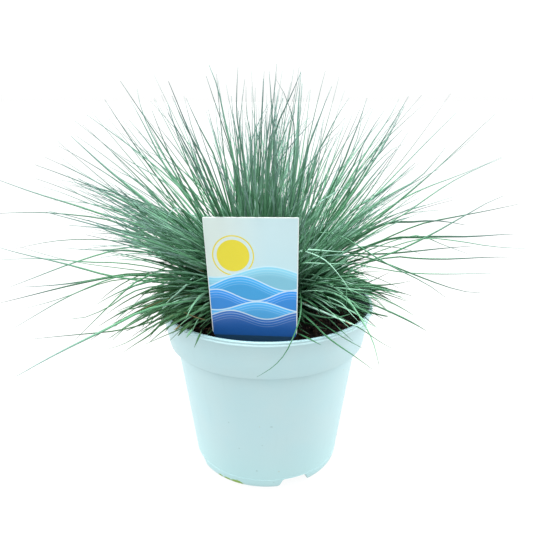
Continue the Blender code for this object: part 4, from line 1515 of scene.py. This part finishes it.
def place_leaves(bundle_towards, rng):
    """The leaves that the tables place."""
    for tip_mm, width_mm, tone, *places in CLEAR_LEAVES:
        path = clear_path(places, tip_mm / 1000.0)
        bundle_towards(path[-1]).add(path, width_mm / 1000.0, rng, tone, taper_from=0.68)
    for first_mm, last_mm, width_mm, tone, *places in DRAWN_LEAVES:
        path = drawn_path(places, first_mm / 1000.0, last_mm / 1000.0)
        bundle_towards(path[len(path) // 2]).add(path, width_mm / 1000.0, rng, tone, taper_from=0.55)
    for places in DRY_ENDS:
        path = through(at_pixels(places))
        bundle_towards(path[0]).add(path, DRY_END_WIDTH, rng, tone=0.5, dry=0.8, taper_from=0.7)
    hanging = through(at_pixels(HANGING_LEAF), HANGING_SMOOTHINGS)
    bundle_towards(hanging[0]).add(hanging, HANGING_LEAF_WIDTH, rng, HANGING_LEAF_TONE)


def build_leaves(rng):
    centres = tuft_centres()
    groups = leaf_groups()
    group_of = {tuft: k for k, group in enumerate(groups) for tuft in group}
    bundles = [Leaves() for _ in groups]

    def bundle_towards(place):
        """The bundle of the tuft whose direction is nearest to this place's."""
        way = (place - CLUMP_HEIGHT * UP).normalized()
        return bundles[group_of[max(range(len(centres)), key=lambda k: centres[k].dot(way))]]

    grow_inner_leaves(bundle_towards, rng)
    grow_shoots(bundle_towards, rng)
    place_leaves(bundle_towards, rng)
    material = leaf_material()
    for number, (group, bundle) in enumerate(zip(groups, bundles), 1):
        name = f"leaf_fan_{number:02d}"
        nodes = [f"leaf_tuft_{tuft + 1:02d}" for tuft in group]
        add_piece(name, bundle.mesh(name), material, "leaf", *nodes)


def build_crown(rng):
    """The old leaf bases in the clump's middle: short dry stubs on a low mound."""
    stubs = Leaves()
    for _ in range(STUBS):
        elevation = math.asin(rng.uniform(0.15, 1.0))
        azimuth = rng.uniform(0, 2 * math.pi)
        base = shoot_base(elevation, azimuth)
        base.z = SOIL_LEVEL + rng.uniform(-0.001, 0.002)
        length = rng.uniform(0.014, 0.034)
        path = leaf_path(base, Growth(elevation, azimuth + rng.gauss(0, 0.3), length, rng.gauss(0.2, 0.2)))
        stubs.add(path, rng.uniform(0.0012, 0.0022), rng, rng.random(), rng.uniform(0.35, 1.0), 1.0)
    add_piece("old_leaf_bases", stubs.mesh("old_leaf_bases"), leaf_material(), "crown", "fescue_crown")


# Stage --------------------


def build_sky():
    """A white sky that grows brighter from the horizon up."""
    world = bpy.data.worlds.new("studio")
    world.use_nodes = True
    tree = world.node_tree
    direction = tree.nodes.new("ShaderNodeTexCoord").outputs["Generated"]
    height = tree.nodes.new("ShaderNodeSeparateXYZ")
    tree.links.new(direction, height.inputs[0])
    brighter = tree.nodes.new("ShaderNodeMapRange")
    tree.links.new(height.outputs[2], brighter.inputs[0])
    brighter.inputs[3].default_value = 1.0
    brighter.inputs[4].default_value = SKY_TOP
    background = tree.nodes["Background"]
    background.inputs["Color"].default_value = WHITE
    tree.links.new(brighter.outputs[0], background.inputs["Strength"])
    bpy.context.scene.world = world


def build_floor():
    bm = bmesh.new()
    bmesh.ops.create_circle(bm, cap_ends=True, segments=STAGE_SEGMENTS, radius=STAGE_RADIUS)
    floor = add_object("floor", mesh_from(bm, "floor"))
    n = Nodes("white_floor")
    n.fill(n.shader, {"Emission Color": WHITE, "Emission Strength": FLOOR_GLOW})
    floor.data.materials.append(n.finish((0.08, 0.08, 0.08), 0.9, 0.1))


def build_lamp(name, place, aim_height, diameter, power):
    data = bpy.data.lights.new(name, "AREA")
    data.shape = "DISK"
    data.size = diameter
    data.energy = power
    lamp = add_object(name, data)
    lamp.location = place
    lamp.rotation_euler = (aim_height * UP - Vector(place)).to_track_quat("-Z", "Y").to_euler()


def build_camera():
    """The camera that sees the object as the photograph does."""
    data = bpy.data.cameras.new("camera")
    data.sensor_width = SENSOR * 1000
    data.lens = FOCAL_PIXELS / PHOTO_SIZE * SENSOR * 1000
    camera = add_object("camera", data)
    camera.location = CAMERA_PLACE
    camera.rotation_euler = (math.radians(90) - CAMERA_PITCH, 0.0, 0.0)
    bpy.context.scene.camera = camera


def build_stage():
    bpy.context.scene.view_settings.view_transform = "Standard"
    build_sky()
    build_floor()
    for name, lamp in LAMPS.items():
        build_lamp(name, *lamp)
    build_camera()


# From a place to where it lies on the label: across it, up it and out from its front.
LABEL_INVERSE = label_place().inverted()
build_stage()
build_pot()
build_soil(random.Random(5))
build_label()
build_leaves(random.Random(23))
build_crown(random.Random(31))
